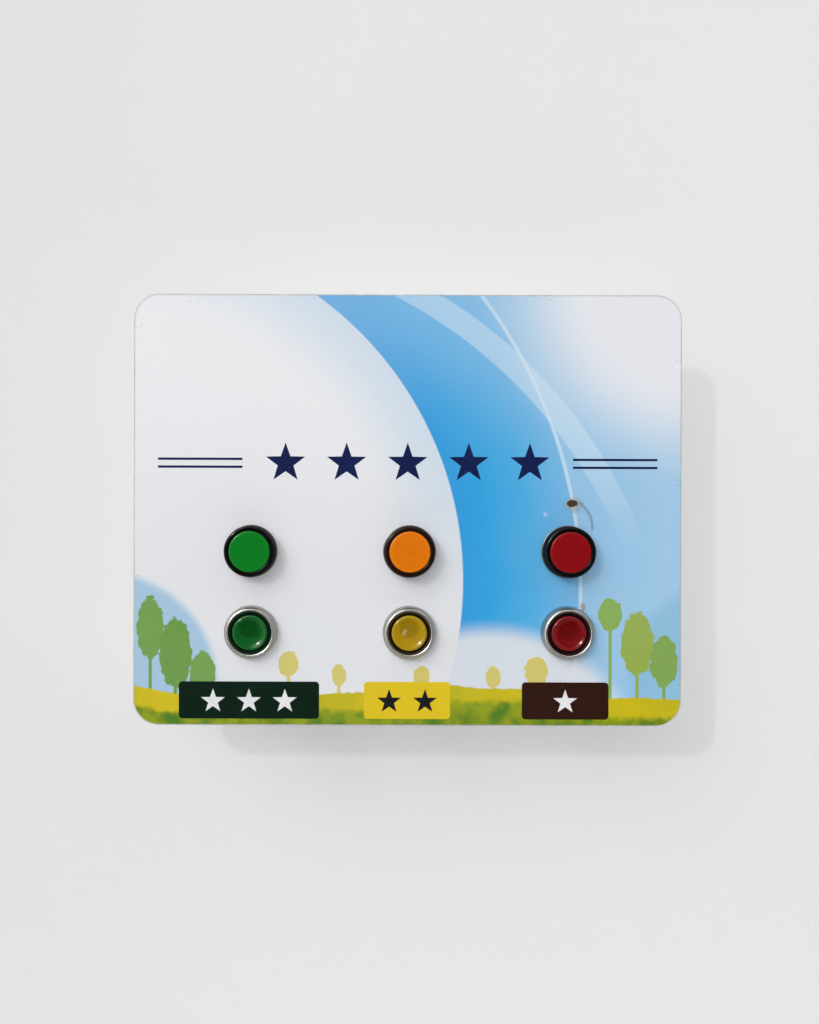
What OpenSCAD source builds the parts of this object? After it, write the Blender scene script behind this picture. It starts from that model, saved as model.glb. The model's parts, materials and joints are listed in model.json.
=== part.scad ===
// Wall-mounted feedback terminal: three indicator lamps over three push buttons
// on a printed front panel, with a sheet steel housing behind it.
// The origin is on the wall, behind the middle of the panel. +X is right,
// +Z is up, and the front faces -Y. All sizes are in millimetres.

/* [Front panel] */
// Width of the front panel sheet
panel_w = 305; // [300:1:325]
// Height of the front panel sheet
panel_h = 240; // [236:1:260]
// Thickness of the front panel sheet
panel_t = 3; // [2:0.5:4]
// Corner radius of the front panel
panel_r = 14; // [8:1:20]
// Distance from the wall to the front face of the panel
panel_front = 78; // [76:1:90]
// Thickness of the printed overlay
overlay_t = 0.3; // [0.2:0.1:0.5]
// Bare edge of the panel left round the overlay
overlay_inset = 0.5; // [0.25:0.25:2]
// Corner radius of the overlay
overlay_r = 15.5; // [8:0.5:22]

/* [Rating labels] */
// Widths of the left, middle and right labels
label_w = [78, 48, 48.2]; // [30:0.2:80]
// Height of a label
label_h = 20.6; // [12:0.2:22]
// Corner radius of a label
label_r = 2; // [1:0.5:4]
// Thickness of a label
label_t = 0.25; // [0.1:0.05:0.5]
// Height of the label row above the centre of the panel
label_row = -106; // [-106:0.5:-98]

/* [Lamps and buttons] */
// Distance between neighbouring columns
column_pitch = 88; // [80:1:90]
// Sideways place of the middle column
column_offset = 1; // [-2:0.5:2]
// Height of the lamp row above the centre of the panel
lamp_row = -23; // [-24:1:-20]
// Height of the button row above the centre of the panel
button_row = -68; // [-70:1:-66]
// Radius of the holes in the panel
hole_r = 11.25; // [11.1:0.05:11.25]
// Radius of the threaded stem of a lamp or button
stem_r = 10.9; // [10.8:0.05:11]
// Outer radius of a sealing gasket
gasket_r = 14.8; // [14.5:0.1:15.5]
// Thickness of a sealing gasket
gasket_t = 0.8; // [0.5:0.1:1]
// Distance across the flats of a panel nut
nut_flats = 27; // [26:0.5:29]
// Thickness of a panel nut
nut_t = 6; // [4:0.5:8]

/* [Indicator lamps] */
// Outer radius of the bright trim ring under a lamp
trim_r = 14.65; // [14.4:0.05:14.8]
// Thickness of the trim ring
trim_t = 1; // [0.6:0.1:1.2]
// Outer radius of a lamp's collar
collar_r = 14.15; // [13.5:0.05:14.4]
// Height of the collar's top above the panel
collar_top = 12.3; // [11:0.1:14]
// Radius of a lamp's lens
lens_r = 11.4; // [10.9:0.05:11.6]
// Height of the lens face above the collar's top
lens_proud = 0.4; // [0:0.1:1]
// Depth of a lamp's stem behind the front of the panel
lamp_depth = 30; // [28:1:32]

/* [Push buttons] */
// Outer radius of a button's bezel
bezel_r = 14.55; // [14.3:0.05:14.8]
// Height of the bezel's crest above the panel
bezel_top = 7.7; // [7.4:0.1:8.4]
// Radius of a button's cap
cap_r = 9.85; // [9.7:0.05:9.9]
// Height of the cap's rim above the panel
cap_top = 7.4; // [7.2:0.1:8]
// Depth of the finger dish in the cap
dish_depth = 1.1; // [0.4:0.1:1.4]
// How far a button travels when it is pressed
travel = 4; // [2:0.5:4]
// Turns of a return spring
spring_turns = 6; // [5:1:7]

/* [Housing] */
// Width of the rear housing
tray_w = 286; // [280:1:288]
// Height of the rear housing
tray_h = 221; // [216:1:222]
// Depth of the rear housing
tray_d = 62; // [60:1:64]
// Corner radius of the rear housing
tray_r = 8; // [5:1:12]
// Thickness of the housing's steel sheet
tray_t = 1.5; // [1:0.1:2]
// Distance between the wall holes across the housing
wall_hole_x = 250; // [240:1:255]
// Distance between the wall holes up the housing
wall_hole_z = 180; // [170:1:190]
// Radius of the wall holes
wall_hole_r = 2.5; // [2:0.25:3]
// Thickness of the cover frame's steel sheet
frame_t = 1.2; // [0.8:0.1:1.5]
// How far the cover frame's skirt reaches behind the panel
frame_d = 25; // [24:1:27]
// Width of the flange that is bonded to the panel
flange_w = 18; // [12:1:20]
// Radius of the bore for the supply cable
cable_r = 4.5; // [3:0.25:6]

/* [Circuit board] */
// Width of the circuit board
board_w = 170; // [165:1:175]
// Height of the circuit board
board_h = 80; // [75:1:85]
// Height of the board's centre above the centre of the panel
board_z = 45; // [45:1:50]
// Height of the standoffs under the board
standoff_h = 10; // [8:1:12]

/* [Hidden] */
$fn = 64;

left = 0;
middle = 1;
right = 2;
sides = [left, middle, right];
column_x = [for (i = [-1:1]) column_offset + i * column_pitch];
hole_places = [for (x = column_x, z = [lamp_row, button_row]) [x, z]];

lens_colour = ["#078A3B", "#F28C05", "#B3060F"];
cap_colour = ["#0C6A24", "#B89A0C", "#8E0C10"];
label_colour = ["#0F2618", "#DCC02A", "#2E1A14"];

// Running clearance between a moving piece and its guide
slip = 0.3;
// Extra length that carries a cut clear through a face
cut = 1;

// Heights in a lamp or button, measured out from the front of the panel
gasket_top = overlay_t + gasket_t;
trim_top = gasket_top + trim_t;

// Inside a lamp
lamp_bore_r = 9.8;
lamp_ledge_r = 8.8;
collar_floor = trim_top + 1.9;
lens_foot = collar_floor + 2;
terminal_base = lamp_depth + 7;

// Inside a button
guide_top = bezel_top - 1.1;
guide_r = cap_r + slip;
cap_foot = -1;
cap_wall = 1.25;
cap_ceiling = cap_top - 2.2;
bore_r = 8.3;
ledge = cap_foot - travel - 0.2;
shoulder = -8;
web_front = -22;
web_back = -24;
web_hole_r = 4.4;
body_back = -28;
stem_end = -25.6;
plunger_stem_r = 4;
return_coil_r = 6.2;
return_wire_r = 0.5;

// Inside a contact block
block_w = 24;
block_h = 20;
block_back = -52;
clip_front = -24;
clip_r = 12.2;
well_floor = -31.5;
chamber_front = -34.5;
chamber_back = -45.6;
bridge_front = -38.2;
bridge_t = 0.8;
carrier_r = 3;
contact_coil_r = 2.1;
contact_wire_r = 0.25;
contact_turns = 5;
terminal_x = 7.5;

// Screw terminals: the screw below, the lead above
screw_head_r = 2;
screw_head_t = 1.6;
screw_shaft_r = 1.2;
screw_shaft = 6.4;
screw_drop = -3;
lead_rise = 4;
lead_r = 0.8;
lead_hole_r = 1.1;
lead_hole_depth = 4;
lamp_terminal_x = 5;

// The steel cover frame slips over the rear housing with this gap
frame_gap = 1;
frame_w = tray_w + 2 * (frame_gap + frame_t);
frame_h = tray_h + 2 * (frame_gap + frame_t);
frame_r = tray_r + frame_gap + frame_t;
frame_back = panel_front - panel_t - frame_d;
cover_screw_y = frame_back + 6;
cover_screw_z = 70;
cover_hole_r = 2.25;
screw_r = 1.95;
rivet_r = 3;
rivet_depth = 9;

// Cable entry, set in a round dimple of the housing's back
entry_x = -112;
entry_z = 45;
entry_hole_r = 10;
dimple_r = 17;
dimple_depth = 2;

// Circuit board
board_t = 1.6;
board_front = tray_t + standoff_h + board_t;
board_hole_x = board_w / 2 - 5;
board_hole_z = board_h / 2 - 5;
block_x = [-64, 0, 64];
block_pitch = 5.08;
block_tall = 8.2;
block_deep = 10.4;
block_foot = board_z - board_h / 2 - 0.5;
entry_height = 3;

// Leads from the lamps and buttons to the board
lead_stub = 4.5;
lead_sides = 8;
lead_rings = 20;

// ---- Helpers ----

// Draws on the wall plane, with local +Z as the distance out from the wall
module at_wall(x, z) translate([x, 0, z]) rotate([90, 0, 0]) children();

// Draws on the panel's front face, with local +Z standing out of it
module at_panel(x, z) translate([x, -panel_front, z]) rotate([90, 0, 0]) children();

module at_lamp(side) at_panel(column_x[side], lamp_row) children();

module at_button(side) at_panel(column_x[side], button_row) children();

// A flat rectangle with round corners
module rounded_rect(w, h, r) {
    square([w - 2 * r, h], center = true);
    square([w, h - 2 * r], center = true);
    for (sx = [-1, 1], sz = [-1, 1])
        translate([sx * (w / 2 - r), sz * (h / 2 - r)]) circle(r);
}

// A plate with round corners between two distances from the wall
module plate(w, h, r, y0, y1)
    at_wall(0, 0) translate([0, 0, y0]) linear_extrude(y1 - y0) rounded_rect(w, h, r);

module disc(r, z0, z1) translate([0, 0, z0]) cylinder(r = r, h = z1 - z0);

module ring(r_out, r_in, z0, z1) difference() {
    disc(r_out, z0, z1);
    disc(r_in, z0 - cut, z1 + cut);
}

module block(size, z0, z1)
    translate([-size.x / 2, -size.y / 2, z0]) cube([size.x, size.y, z1 - z0]);

// Points of an arc, for a turned outline
function arc(centre, r, a0, a1, n = 8) =
    [for (k = [0:n]) let (a = a0 + (a1 - a0) * k / n) centre + r * [cos(a), sin(a)]];

function unit(v) = v / norm(v);

// A round tube swept along a list of points. Its path never runs along across.
module tube(path, r, count, across) {
    last = len(path) - 1;
    points = [for (k = [0:last])
        let (
            along = unit(path[min(k + 1, last)] - path[max(k - 1, 0)]),
            side = unit(cross(along, across)),
            up = cross(along, side)
        )
        for (s = [0:count - 1])
            path[k] + r * (cos(360 * s / count) * side + sin(360 * s / count) * up)];
    walls = [for (k = [0:last - 1], s = [0:count - 1], half = [0, 1])
        let (t = (s + 1) % count, near = k * count, far = (k + 1) * count)
        half == 0 ? [near + s, far + s, far + t] : [near + s, far + t, near + t]];
    ends = [
        [for (s = [0:count - 1]) s],
        [for (s = [count - 1:-1:0]) last * count + s]
    ];
    polyhedron(points, concat(ends, walls));
}

// Points of a compression spring standing on z = 0, with closer end turns
function coil(r, wire_r, length, turns, per_turn) =
    let (
        closed = 2 * wire_r + 0.45,
        open = (length - 2 * wire_r - 2 * closed) / (turns - 2)
    )
    [for (k = [0:turns * per_turn]) let (
        u = k / per_turn,
        z = u < 1 ? u * closed
            : u > turns - 1 ? length - 2 * wire_r - (turns - u) * closed
            : closed + (u - 1) * open
    ) [r * cos(360 * u), r * sin(360 * u), wire_r + z]];

function bezier(a, b, c, d, t) =
    pow(1 - t, 3) * a + 3 * pow(1 - t, 2) * t * b + 3 * (1 - t) * t * t * c + pow(t, 3) * d;

// A lead leaves its terminal straight back and rises into the board's terminal
function lead_route(from, to, back, rise) =
    let (start = from + [0, lead_stub, 0], end = to - [0, 0, lead_stub])
    concat(
        [from],
        [for (k = [0:lead_rings]) bezier(
            start, start + [0, back, 0], end - [0, 0, rise], end, k / lead_rings)],
        [to]
    );

// ---- Front panel, print and labels ----

module hole_pattern()
    for (place = hole_places)
        at_wall(place.x, place.y)
            disc(hole_r, panel_front - panel_t - cut, panel_front + overlay_t + cut);

module front_panel() color("whitesmoke") difference() {
    plate(panel_w, panel_h, panel_r, panel_front - panel_t, panel_front);
    hole_pattern();
}

module graphic_overlay() color("#9CCBEA") difference() {
    plate(
        panel_w - 2 * overlay_inset, panel_h - 2 * overlay_inset, overlay_r,
        panel_front, panel_front + overlay_t);
    hole_pattern();
}

module rating_label(side) color(label_colour[side])
    at_panel(column_x[side] - column_offset, label_row)
        translate([0, 0, overlay_t])
            linear_extrude(label_t) rounded_rect(label_w[side], label_h, label_r);

// ---- Housing ----

// Places its children at the four cover screws, with local +Z pointing out
module at_cover_screws()
    for (sx = [-1, 1], sz = [-1, 1])
        translate([sx * tray_w / 2, -cover_screw_y, sz * cover_screw_z])
            rotate([0, sx * 90, 0]) children();

module cover_frame() color("gainsboro") difference() {
    plate(frame_w, frame_h, frame_r, frame_back, panel_front - panel_t);
    plate(
        frame_w - 2 * frame_t, frame_h - 2 * frame_t, frame_r - frame_t,
        frame_back - cut, panel_front - panel_t - frame_t);
    plate(
        frame_w - 2 * flange_w, frame_h - 2 * flange_w, frame_r - frame_t,
        frame_back, panel_front);
    at_cover_screws() disc(cover_hole_r, -cut, frame_gap + frame_t + cut);
}

module rear_housing() color("gainsboro") difference() {
    union() {
        difference() {
            plate(tray_w, tray_h, tray_r, 0, tray_d);
            plate(
                tray_w - 2 * tray_t, tray_h - 2 * tray_t, tray_r - tray_t,
                tray_t, tray_d + cut);
        }
        at_wall(entry_x, entry_z) disc(dimple_r + tray_t, 0, dimple_depth + tray_t);
    }
    at_wall(entry_x, entry_z) disc(dimple_r, -cut, dimple_depth);
    at_wall(entry_x, entry_z) disc(entry_hole_r, -cut, dimple_depth + tray_t + cut);
    for (sx = [-1, 1], sz = [-1, 1])
        at_wall(sx * wall_hole_x / 2, sz * wall_hole_z / 2)
            disc(wall_hole_r, -cut, tray_t + cut);
    at_cover_screws() disc(rivet_r, -tray_t - cut, cut);
}

module cover_screws() color("silver") at_cover_screws() {
    disc(screw_r, 1 - rivet_depth, frame_gap + frame_t);
    difference() {
        disc(3.8, frame_gap + frame_t, frame_gap + frame_t + 2.4);
        for (a = [0, 90])
            rotate([0, 0, a]) block([4.2, 0.9], frame_gap + frame_t + 1, tray_w);
    }
}

module rivet_nuts() color("darkkhaki") at_cover_screws() difference() {
    union() {
        disc(rivet_r, -rivet_depth, frame_gap);
        disc(rivet_r + 1.5, 0, frame_gap);
        disc(rivet_r + 1.2, -tray_t - 2, -tray_t);
    }
    disc(screw_r + 0.05, -rivet_depth - cut, frame_gap + cut);
}

module cable_grommet() color("#222222") at_wall(entry_x, entry_z)
    rotate_extrude() polygon([
        [cable_r, 0.4], [entry_hole_r + 3, 0.4], [entry_hole_r + 3, dimple_depth],
        [entry_hole_r, dimple_depth], [entry_hole_r, dimple_depth + tray_t],
        [entry_hole_r + 3, dimple_depth + tray_t],
        [entry_hole_r + 2.2, dimple_depth + tray_t + 2],
        [cable_r + 2.4, dimple_depth + tray_t + 2],
        [cable_r + 1.4, dimple_depth + tray_t + 7],
        [cable_r, dimple_depth + tray_t + 7]
    ]);

// ---- Circuit board ----

module at_board_screws()
    for (sx = [-1, 1], sz = [-1, 1])
        at_wall(sx * board_hole_x, board_z + sz * board_hole_z) children();

module circuit_board() color("darkgreen") difference() {
    at_wall(0, board_z) block([board_w, board_h], tray_t + standoff_h, board_front);
    at_board_screws() disc(1.6, 0, board_front + cut);
}

module board_standoffs() color("goldenrod") at_board_screws() difference() {
    translate([0, 0, tray_t]) cylinder(r = 3.2, h = standoff_h, $fn = 6);
    disc(1.5, tray_t + 2, tray_t + standoff_h + cut);
}

module board_screws() color("silver") at_board_screws() {
    disc(1.45, tray_t + standoff_h - 5, board_front);
    difference() {
        disc(2.75, board_front, board_front + 2);
        for (a = [0, 90]) rotate([0, 0, a]) block([3, 0.6], board_front + 0.9, board_front + 3);
    }
}

module processor_chip() color("#202224") at_wall(8, board_z + 4) {
    block([12, 12], board_front + 0.2, board_front + 1.5);
    for (a = [0, 90, 180, 270], k = [-5:5])
        rotate([0, 0, a]) translate([6.4, k * 0.95, 0])
            block([1.6, 0.4], board_front, board_front + 0.8);
}

module wireless_module() color("silver") at_wall(46, board_z + 14) {
    block([18, 25.5], board_front, board_front + 0.8);
    translate([0, -3, 0]) block([16, 17.6], board_front + 0.8, board_front + 3.2);
}

module supply_capacitor() color("#23304A") at_wall(-46, board_z + 10)
    rotate_extrude() polygon([
        [0, board_front], [5, board_front], [5, board_front + 2],
        [4.6, board_front + 2.4], [4.6, board_front + 2.9], [5, board_front + 3.3],
        [5, board_front + 11.6], [4.6, board_front + 12], [0, board_front + 12]
    ]);

// Places its children at each way of a screw terminal, local +Z out of the board
module at_ways(ways)
    for (k = [0:ways - 1])
        translate([(k - (ways - 1) / 2) * block_pitch, 0, 0]) children();

module terminal_block(ways) difference() {
    translate([0, block_tall / 2, 0])
        block([ways * block_pitch, block_tall], board_front, board_front + block_deep);
    at_ways(ways) {
        translate([0, block_tall / 2, 0])
            disc(
                screw_shaft_r + 0.05, board_front + block_deep - screw_shaft,
                board_front + block_deep + cut);
        translate([0, -cut, board_front + entry_height])
            rotate([-90, 0, 0]) cylinder(r = lead_hole_r, h = lead_hole_depth + 1 + cut);
    }
}

// Places its children at the three lamp and button blocks on the lower edge
module at_lower_blocks() for (x = block_x) at_wall(x, block_foot) children();

// Places its children at the supply block, which faces the cable entry
module at_supply_block() at_wall(-board_w / 2 - 0.5, board_z) rotate([0, 0, -90]) children();

module terminal_blocks() color("#2F7D4F") {
    at_lower_blocks() terminal_block(4);
    at_supply_block() terminal_block(2);
}

// A slotted terminal screw, with its head standing on local z = 0
module terminal_screw() {
    disc(screw_shaft_r, -screw_shaft, 0);
    difference() {
        disc(screw_head_r, 0, screw_head_t);
        block([2 * screw_head_r + cut, 0.6], screw_head_t - 0.7, screw_head_t + cut);
    }
}

module terminal_screws() color("silver") {
    at_lower_blocks() at_ways(4)
        translate([0, block_tall / 2, board_front + block_deep]) terminal_screw();
    at_supply_block() at_ways(2)
        translate([0, block_tall / 2, board_front + block_deep]) terminal_screw();
    for (side = sides, sx = [-1, 1]) {
        at_lamp(side) translate([sx * lamp_terminal_x, screw_drop, -terminal_base])
            mirror([0, 0, 1]) terminal_screw();
        at_button(side) translate([sx * terminal_x, screw_drop, block_back])
            mirror([0, 0, 1]) terminal_screw();
    }
}

// ---- Pieces shared by lamps and buttons ----

module panel_gaskets() color("#1A1A1A")
    for (place = hole_places)
        at_panel(place.x, place.y) ring(gasket_r, hole_r + 0.05, overlay_t, gasket_top);

module panel_nuts() color("#2A2A2A")
    for (place = hole_places)
        at_panel(place.x, place.y) difference() {
            translate([0, 0, -panel_t - nut_t])
                cylinder(r = nut_flats / 2 / cos(30), h = nut_t, $fn = 6);
            disc(stem_r + 0.1, -panel_t - nut_t - cut, -panel_t + cut);
        }

// One lead from a device's terminal to one way of that column's terminal block
module lead(side, device_x, device_z, depth, way, back, rise)
    tube(
        lead_route(
            [column_x[side] + device_x, depth - panel_front - lead_hole_depth, device_z],
            [
                block_x[side] + way * block_pitch, -board_front - entry_height,
                block_foot + lead_hole_depth + 1
            ],
            back, rise),
        lead_r, lead_sides, [1, 0, 0]);

module lamp_leads() color("#B02020")
    for (side = sides, sx = [-1, 1])
        lead(
            side, sx * lamp_terminal_x, lamp_row + lead_rise - 1, terminal_base,
            sx * 0.5, 14, 10);

module button_leads() color("#2A2A30")
    for (side = sides, sx = [-1, 1])
        lead(
            side, sx * terminal_x, button_row + lead_rise, -block_back,
            sx * 1.5, 10, 30);

// ---- Indicator lamps ----

module lamp_trim_rings() color("silver")
    for (side = sides) at_lamp(side) ring(trim_r, hole_r + 0.05, gasket_top, trim_top);

module lamp_collar(side) color("#151515") at_lamp(side) rotate_extrude() polygon(concat(
    [
        [stem_r + 0.05, trim_top], [collar_r - 0.3, trim_top], [collar_r, trim_top + 0.3]
    ],
    arc([collar_r - 0.9, collar_top - 0.9], 0.9, 0, 90),
    [
        [lens_r + 0.45, collar_top], [lens_r + 0.05, collar_top - 0.4],
        [lens_r + 0.05, collar_floor], [stem_r + 0.05, collar_floor]
    ]
));

module lamp_lens(side) color(lens_colour[side]) at_lamp(side) {
    lens_top = collar_top + lens_proud;
    rotate_extrude() polygon(concat(
        [[lens_r - 1.4, lens_foot], [lens_r, lens_foot]],
        arc([lens_r - 0.7, lens_top - 0.7], 0.7, 0, 90),
        [[0, lens_top], [0, lens_top - 1.5], [lens_r - 1.4, lens_top - 1.5]]
    ));
}

module lamp_body(side) color("#3A3A3C") at_lamp(side) difference() {
    union() {
        disc(stem_r, -lamp_depth, lens_foot);
        disc(lens_r, collar_floor, lens_foot);
        block([19, 13], -terminal_base, -lamp_depth);
    }
    disc(lamp_bore_r, 0, lens_foot + cut);
    disc(lamp_ledge_r, -lamp_depth + 2, cut);
    for (sx = [-1, 1]) {
        translate([sx * lamp_terminal_x, screw_drop, 0])
            disc(screw_shaft_r + 0.05, -terminal_base - cut, -terminal_base + screw_shaft);
        translate([sx * lamp_terminal_x, lead_rise - 1, 0])
            disc(lead_hole_r, -terminal_base - cut, -terminal_base + lead_hole_depth);
    }
}

// The lamp's own small board, with one diode in the middle and six round it
module lamp_board(side) color("#E8E4D0") at_lamp(side) {
    disc(lamp_bore_r - 0.1, 0, 1.2);
    disc(1.5, 1.2, 3.6);
    for (a = [0:60:300]) rotate([0, 0, a]) translate([5.8, 0, 0]) disc(1.5, 1.2, 3.6);
}

// ---- Push buttons ----

// Turned bezel: a straight foot, a swept shoulder and a narrow round crest
module button_bezel(side) color("silver") at_button(side) {
    crest_r = 0.6;
    sweep_r = 6;
    sweep_z = bezel_top - 4.7;
    rotate_extrude() polygon(concat(
        [[guide_r + 1.45, gasket_top], [bezel_r - 0.2, gasket_top], [bezel_r, gasket_top + 0.2]],
        arc([bezel_r - sweep_r, sweep_z], sweep_r, 0, 42),
        arc([bezel_r - 2.3, bezel_top - crest_r], crest_r, 45, 180),
        [[guide_r + 1.45, guide_top]]
    ));
}

module button_body(side) color("#1B1B1D") at_button(side) difference() {
    union() {
        disc(guide_r + 1.4, gasket_top, guide_top);
        disc(stem_r, body_back, gasket_top);
    }
    disc(guide_r, ledge, guide_top + cut);
    disc(bore_r, web_front, ledge + cut);
    disc(web_hole_r, web_back - cut, web_front + cut);
    disc(bore_r, body_back - cut, web_back);
}

// The dish is the bottom of a large ball, as wide as the cap's rim allows
module button_cap(side) color(cap_colour[side]) at_button(side) {
    dish_r = cap_r - 0.9;
    ball_r = (dish_r * dish_r + dish_depth * dish_depth) / (2 * dish_depth);
    dish_angle = asin(dish_r / ball_r);
    rotate_extrude() polygon(concat(
        [[cap_r - cap_wall, cap_foot], [cap_r, cap_foot]],
        arc([cap_r - 0.6, cap_top - 0.6], 0.6, 0, 90, 6),
        arc([0, cap_top - dish_depth + ball_r], ball_r, dish_angle - 90, -90, 10),
        [[0, cap_ceiling], [cap_r - cap_wall, cap_ceiling]]
    ));
}

// The end of the stem is split into two fingers that snap through the body's web
module plunger(side) color("#E6E2D6") at_button(side) difference() {
    union() {
        disc(cap_r - cap_wall - 0.05, cap_foot, cap_ceiling);
        disc(bore_r - slip, shoulder, cap_foot);
        disc(plunger_stem_r, stem_end, shoulder);
        disc(plunger_stem_r + 1, stem_end, web_back - slip);
    }
    translate([0, 0, stem_end - cut]) block([12, 1.2], 0, 9);
}

module return_spring(side) color("silver") at_button(side)
    translate([0, 0, web_front])
        tube(
            coil(return_coil_r, return_wire_r, shoulder - web_front, spring_turns, 12),
            return_wire_r, 8, [0, 0, 1]);

module contact_block(side) color("#38383A") at_button(side) difference() {
    union() {
        block([block_w, block_h], block_back, body_back);
        disc(clip_r, body_back, clip_front);
    }
    disc(stem_r + 0.05, body_back, clip_front + cut);
    disc(plunger_stem_r + 1.6, well_floor, body_back + cut);
    disc(carrier_r + slip, chamber_front - cut, well_floor + cut);
    translate([0, -block_h / 4, 0])
        block([block_w - 4, block_h / 2 + 10], chamber_back, chamber_front);
    for (sx = [-1, 1]) {
        translate([sx * terminal_x, screw_drop, 0])
            disc(screw_shaft_r + 0.05, block_back - cut, chamber_back + cut);
        translate([sx * terminal_x, lead_rise, 0])
            disc(lead_hole_r, block_back - cut, block_back + lead_hole_depth);
    }
}

// The carrier that the plunger pushes, with its cross bar
module contact_bridge(side) color("peru") at_button(side) {
    disc(carrier_r, bridge_front - cut / 2, stem_end - 0.05);
    block([16, 5], bridge_front - bridge_t, bridge_front);
}

module contact_spring(side) color("silver") at_button(side)
    translate([0, 0, chamber_back])
        tube(
            coil(
                contact_coil_r, contact_wire_r, bridge_front - bridge_t - chamber_back,
                contact_turns, 10),
            contact_wire_r, 6, [0, 0, 1]);

// Two strips in each contact block, each with a raised tip under the cross bar
module fixed_contacts() color("gold")
    for (side = sides, sx = [-1, 1])
        at_button(side) {
            translate([sx * 7.1, -1.5, 0]) block([5.4, 6.6], chamber_back, chamber_back + 0.8);
            translate([sx * 6.4, 0, 0])
                disc(1.3, chamber_back + 0.8, bridge_front - bridge_t - travel - 0.1);
        }

front_panel();
graphic_overlay();
rating_label(left);  // label_left
rating_label(middle);  // label_middle
rating_label(right);  // label_right
cover_frame();
rear_housing();
cover_screws();
rivet_nuts();
cable_grommet();
circuit_board();
board_standoffs();
board_screws();
processor_chip();
wireless_module();
supply_capacitor();
terminal_blocks();
terminal_screws();
panel_gaskets();
panel_nuts();
lamp_trim_rings();
lamp_leads();
button_leads();
lamp_collar(left);  // lamp_collar_left
lamp_lens(left);  // lamp_lens_left
lamp_body(left);  // lamp_body_left
lamp_board(left);  // lamp_board_left
lamp_collar(middle);  // lamp_collar_middle
lamp_lens(middle);  // lamp_lens_middle
lamp_body(middle);  // lamp_body_middle
lamp_board(middle);  // lamp_board_middle
lamp_collar(right);  // lamp_collar_right
lamp_lens(right);  // lamp_lens_right
lamp_body(right);  // lamp_body_right
lamp_board(right);  // lamp_board_right
button_bezel(left);  // button_bezel_left
button_body(left);  // button_body_left
button_cap(left);  // button_cap_left
plunger(left);  // plunger_left
return_spring(left);  // return_spring_left
contact_block(left);  // contact_block_left
contact_bridge(left);  // contact_bridge_left
contact_spring(left);  // contact_spring_left
button_bezel(middle);  // button_bezel_middle
button_body(middle);  // button_body_middle
button_cap(middle);  // button_cap_middle
plunger(middle);  // plunger_middle
return_spring(middle);  // return_spring_middle
contact_block(middle);  // contact_block_middle
contact_bridge(middle);  // contact_bridge_middle
contact_spring(middle);  // contact_spring_middle
button_bezel(right);  // button_bezel_right
button_body(right);  // button_body_right
button_cap(right);  // button_cap_right
plunger(right);  // plunger_right
return_spring(right);  // return_spring_right
contact_block(right);  // contact_block_right
contact_bridge(right);  // contact_bridge_right
contact_spring(right);  // contact_spring_right
fixed_contacts();
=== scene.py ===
import json
from math import cos, pi, radians, sin

import bmesh
import bpy
from mathutils import Matrix, Vector

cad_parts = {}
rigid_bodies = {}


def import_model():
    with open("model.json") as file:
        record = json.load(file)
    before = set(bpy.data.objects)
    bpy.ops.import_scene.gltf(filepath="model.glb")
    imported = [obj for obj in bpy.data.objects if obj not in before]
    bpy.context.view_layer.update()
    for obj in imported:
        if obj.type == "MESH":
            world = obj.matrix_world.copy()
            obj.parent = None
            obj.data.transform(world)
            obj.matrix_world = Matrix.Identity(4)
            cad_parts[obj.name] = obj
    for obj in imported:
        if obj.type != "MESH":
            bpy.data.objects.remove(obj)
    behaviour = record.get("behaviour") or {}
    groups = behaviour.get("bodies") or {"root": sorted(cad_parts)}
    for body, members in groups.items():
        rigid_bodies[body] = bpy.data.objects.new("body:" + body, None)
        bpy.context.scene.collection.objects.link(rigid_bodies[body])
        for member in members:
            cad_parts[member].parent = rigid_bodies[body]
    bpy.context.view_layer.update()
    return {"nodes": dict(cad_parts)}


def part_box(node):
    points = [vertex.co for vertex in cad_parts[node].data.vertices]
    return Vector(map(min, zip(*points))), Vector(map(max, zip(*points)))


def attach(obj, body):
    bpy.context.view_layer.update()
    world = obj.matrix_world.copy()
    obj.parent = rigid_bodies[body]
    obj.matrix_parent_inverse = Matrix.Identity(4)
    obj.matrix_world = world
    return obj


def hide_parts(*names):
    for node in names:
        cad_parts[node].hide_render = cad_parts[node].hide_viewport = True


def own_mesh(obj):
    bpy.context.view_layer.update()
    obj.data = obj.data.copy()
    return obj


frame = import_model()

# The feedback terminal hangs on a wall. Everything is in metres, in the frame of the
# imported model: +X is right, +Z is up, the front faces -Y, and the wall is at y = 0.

mm = 0.001
wanted = bpy.context.scene.collection


# ---- Rear housing ----
# A shallow tray of folded sheet steel, screwed to the wall through its back. It is
# powder coated in mid grey, a fine-textured coat that rounds over every folded edge.

class Graph:
    """A node tree that is written as plain expressions."""

    def __init__(self, tree):
        self.tree = tree

    def node(self, kind, settings, inputs, output=0):
        """Adds a node: its settings first, then the values or links of its sockets."""
        made = self.tree.nodes.new(kind)
        for name, value in settings.items():
            if name == "stops":
                ramp = made.color_ramp
                ramp.elements.remove(ramp.elements[0])
                ramp.elements[0].position, ramp.elements[0].color = value[0]
                for place, colour in value[1:]:
                    ramp.elements.new(place).color = colour
            else:
                setattr(made, name, value)
        for name, value in inputs.items():
            if isinstance(value, Term):
                self.tree.links.new(value.socket, made.inputs[name])
            else:
                made.inputs[name].default_value = value
        return Term(self, made.outputs[output])

    def outputs(self, term):
        """Every output of the node that a term comes from."""
        return [Term(self, socket) for socket in term.socket.node.outputs]


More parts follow.
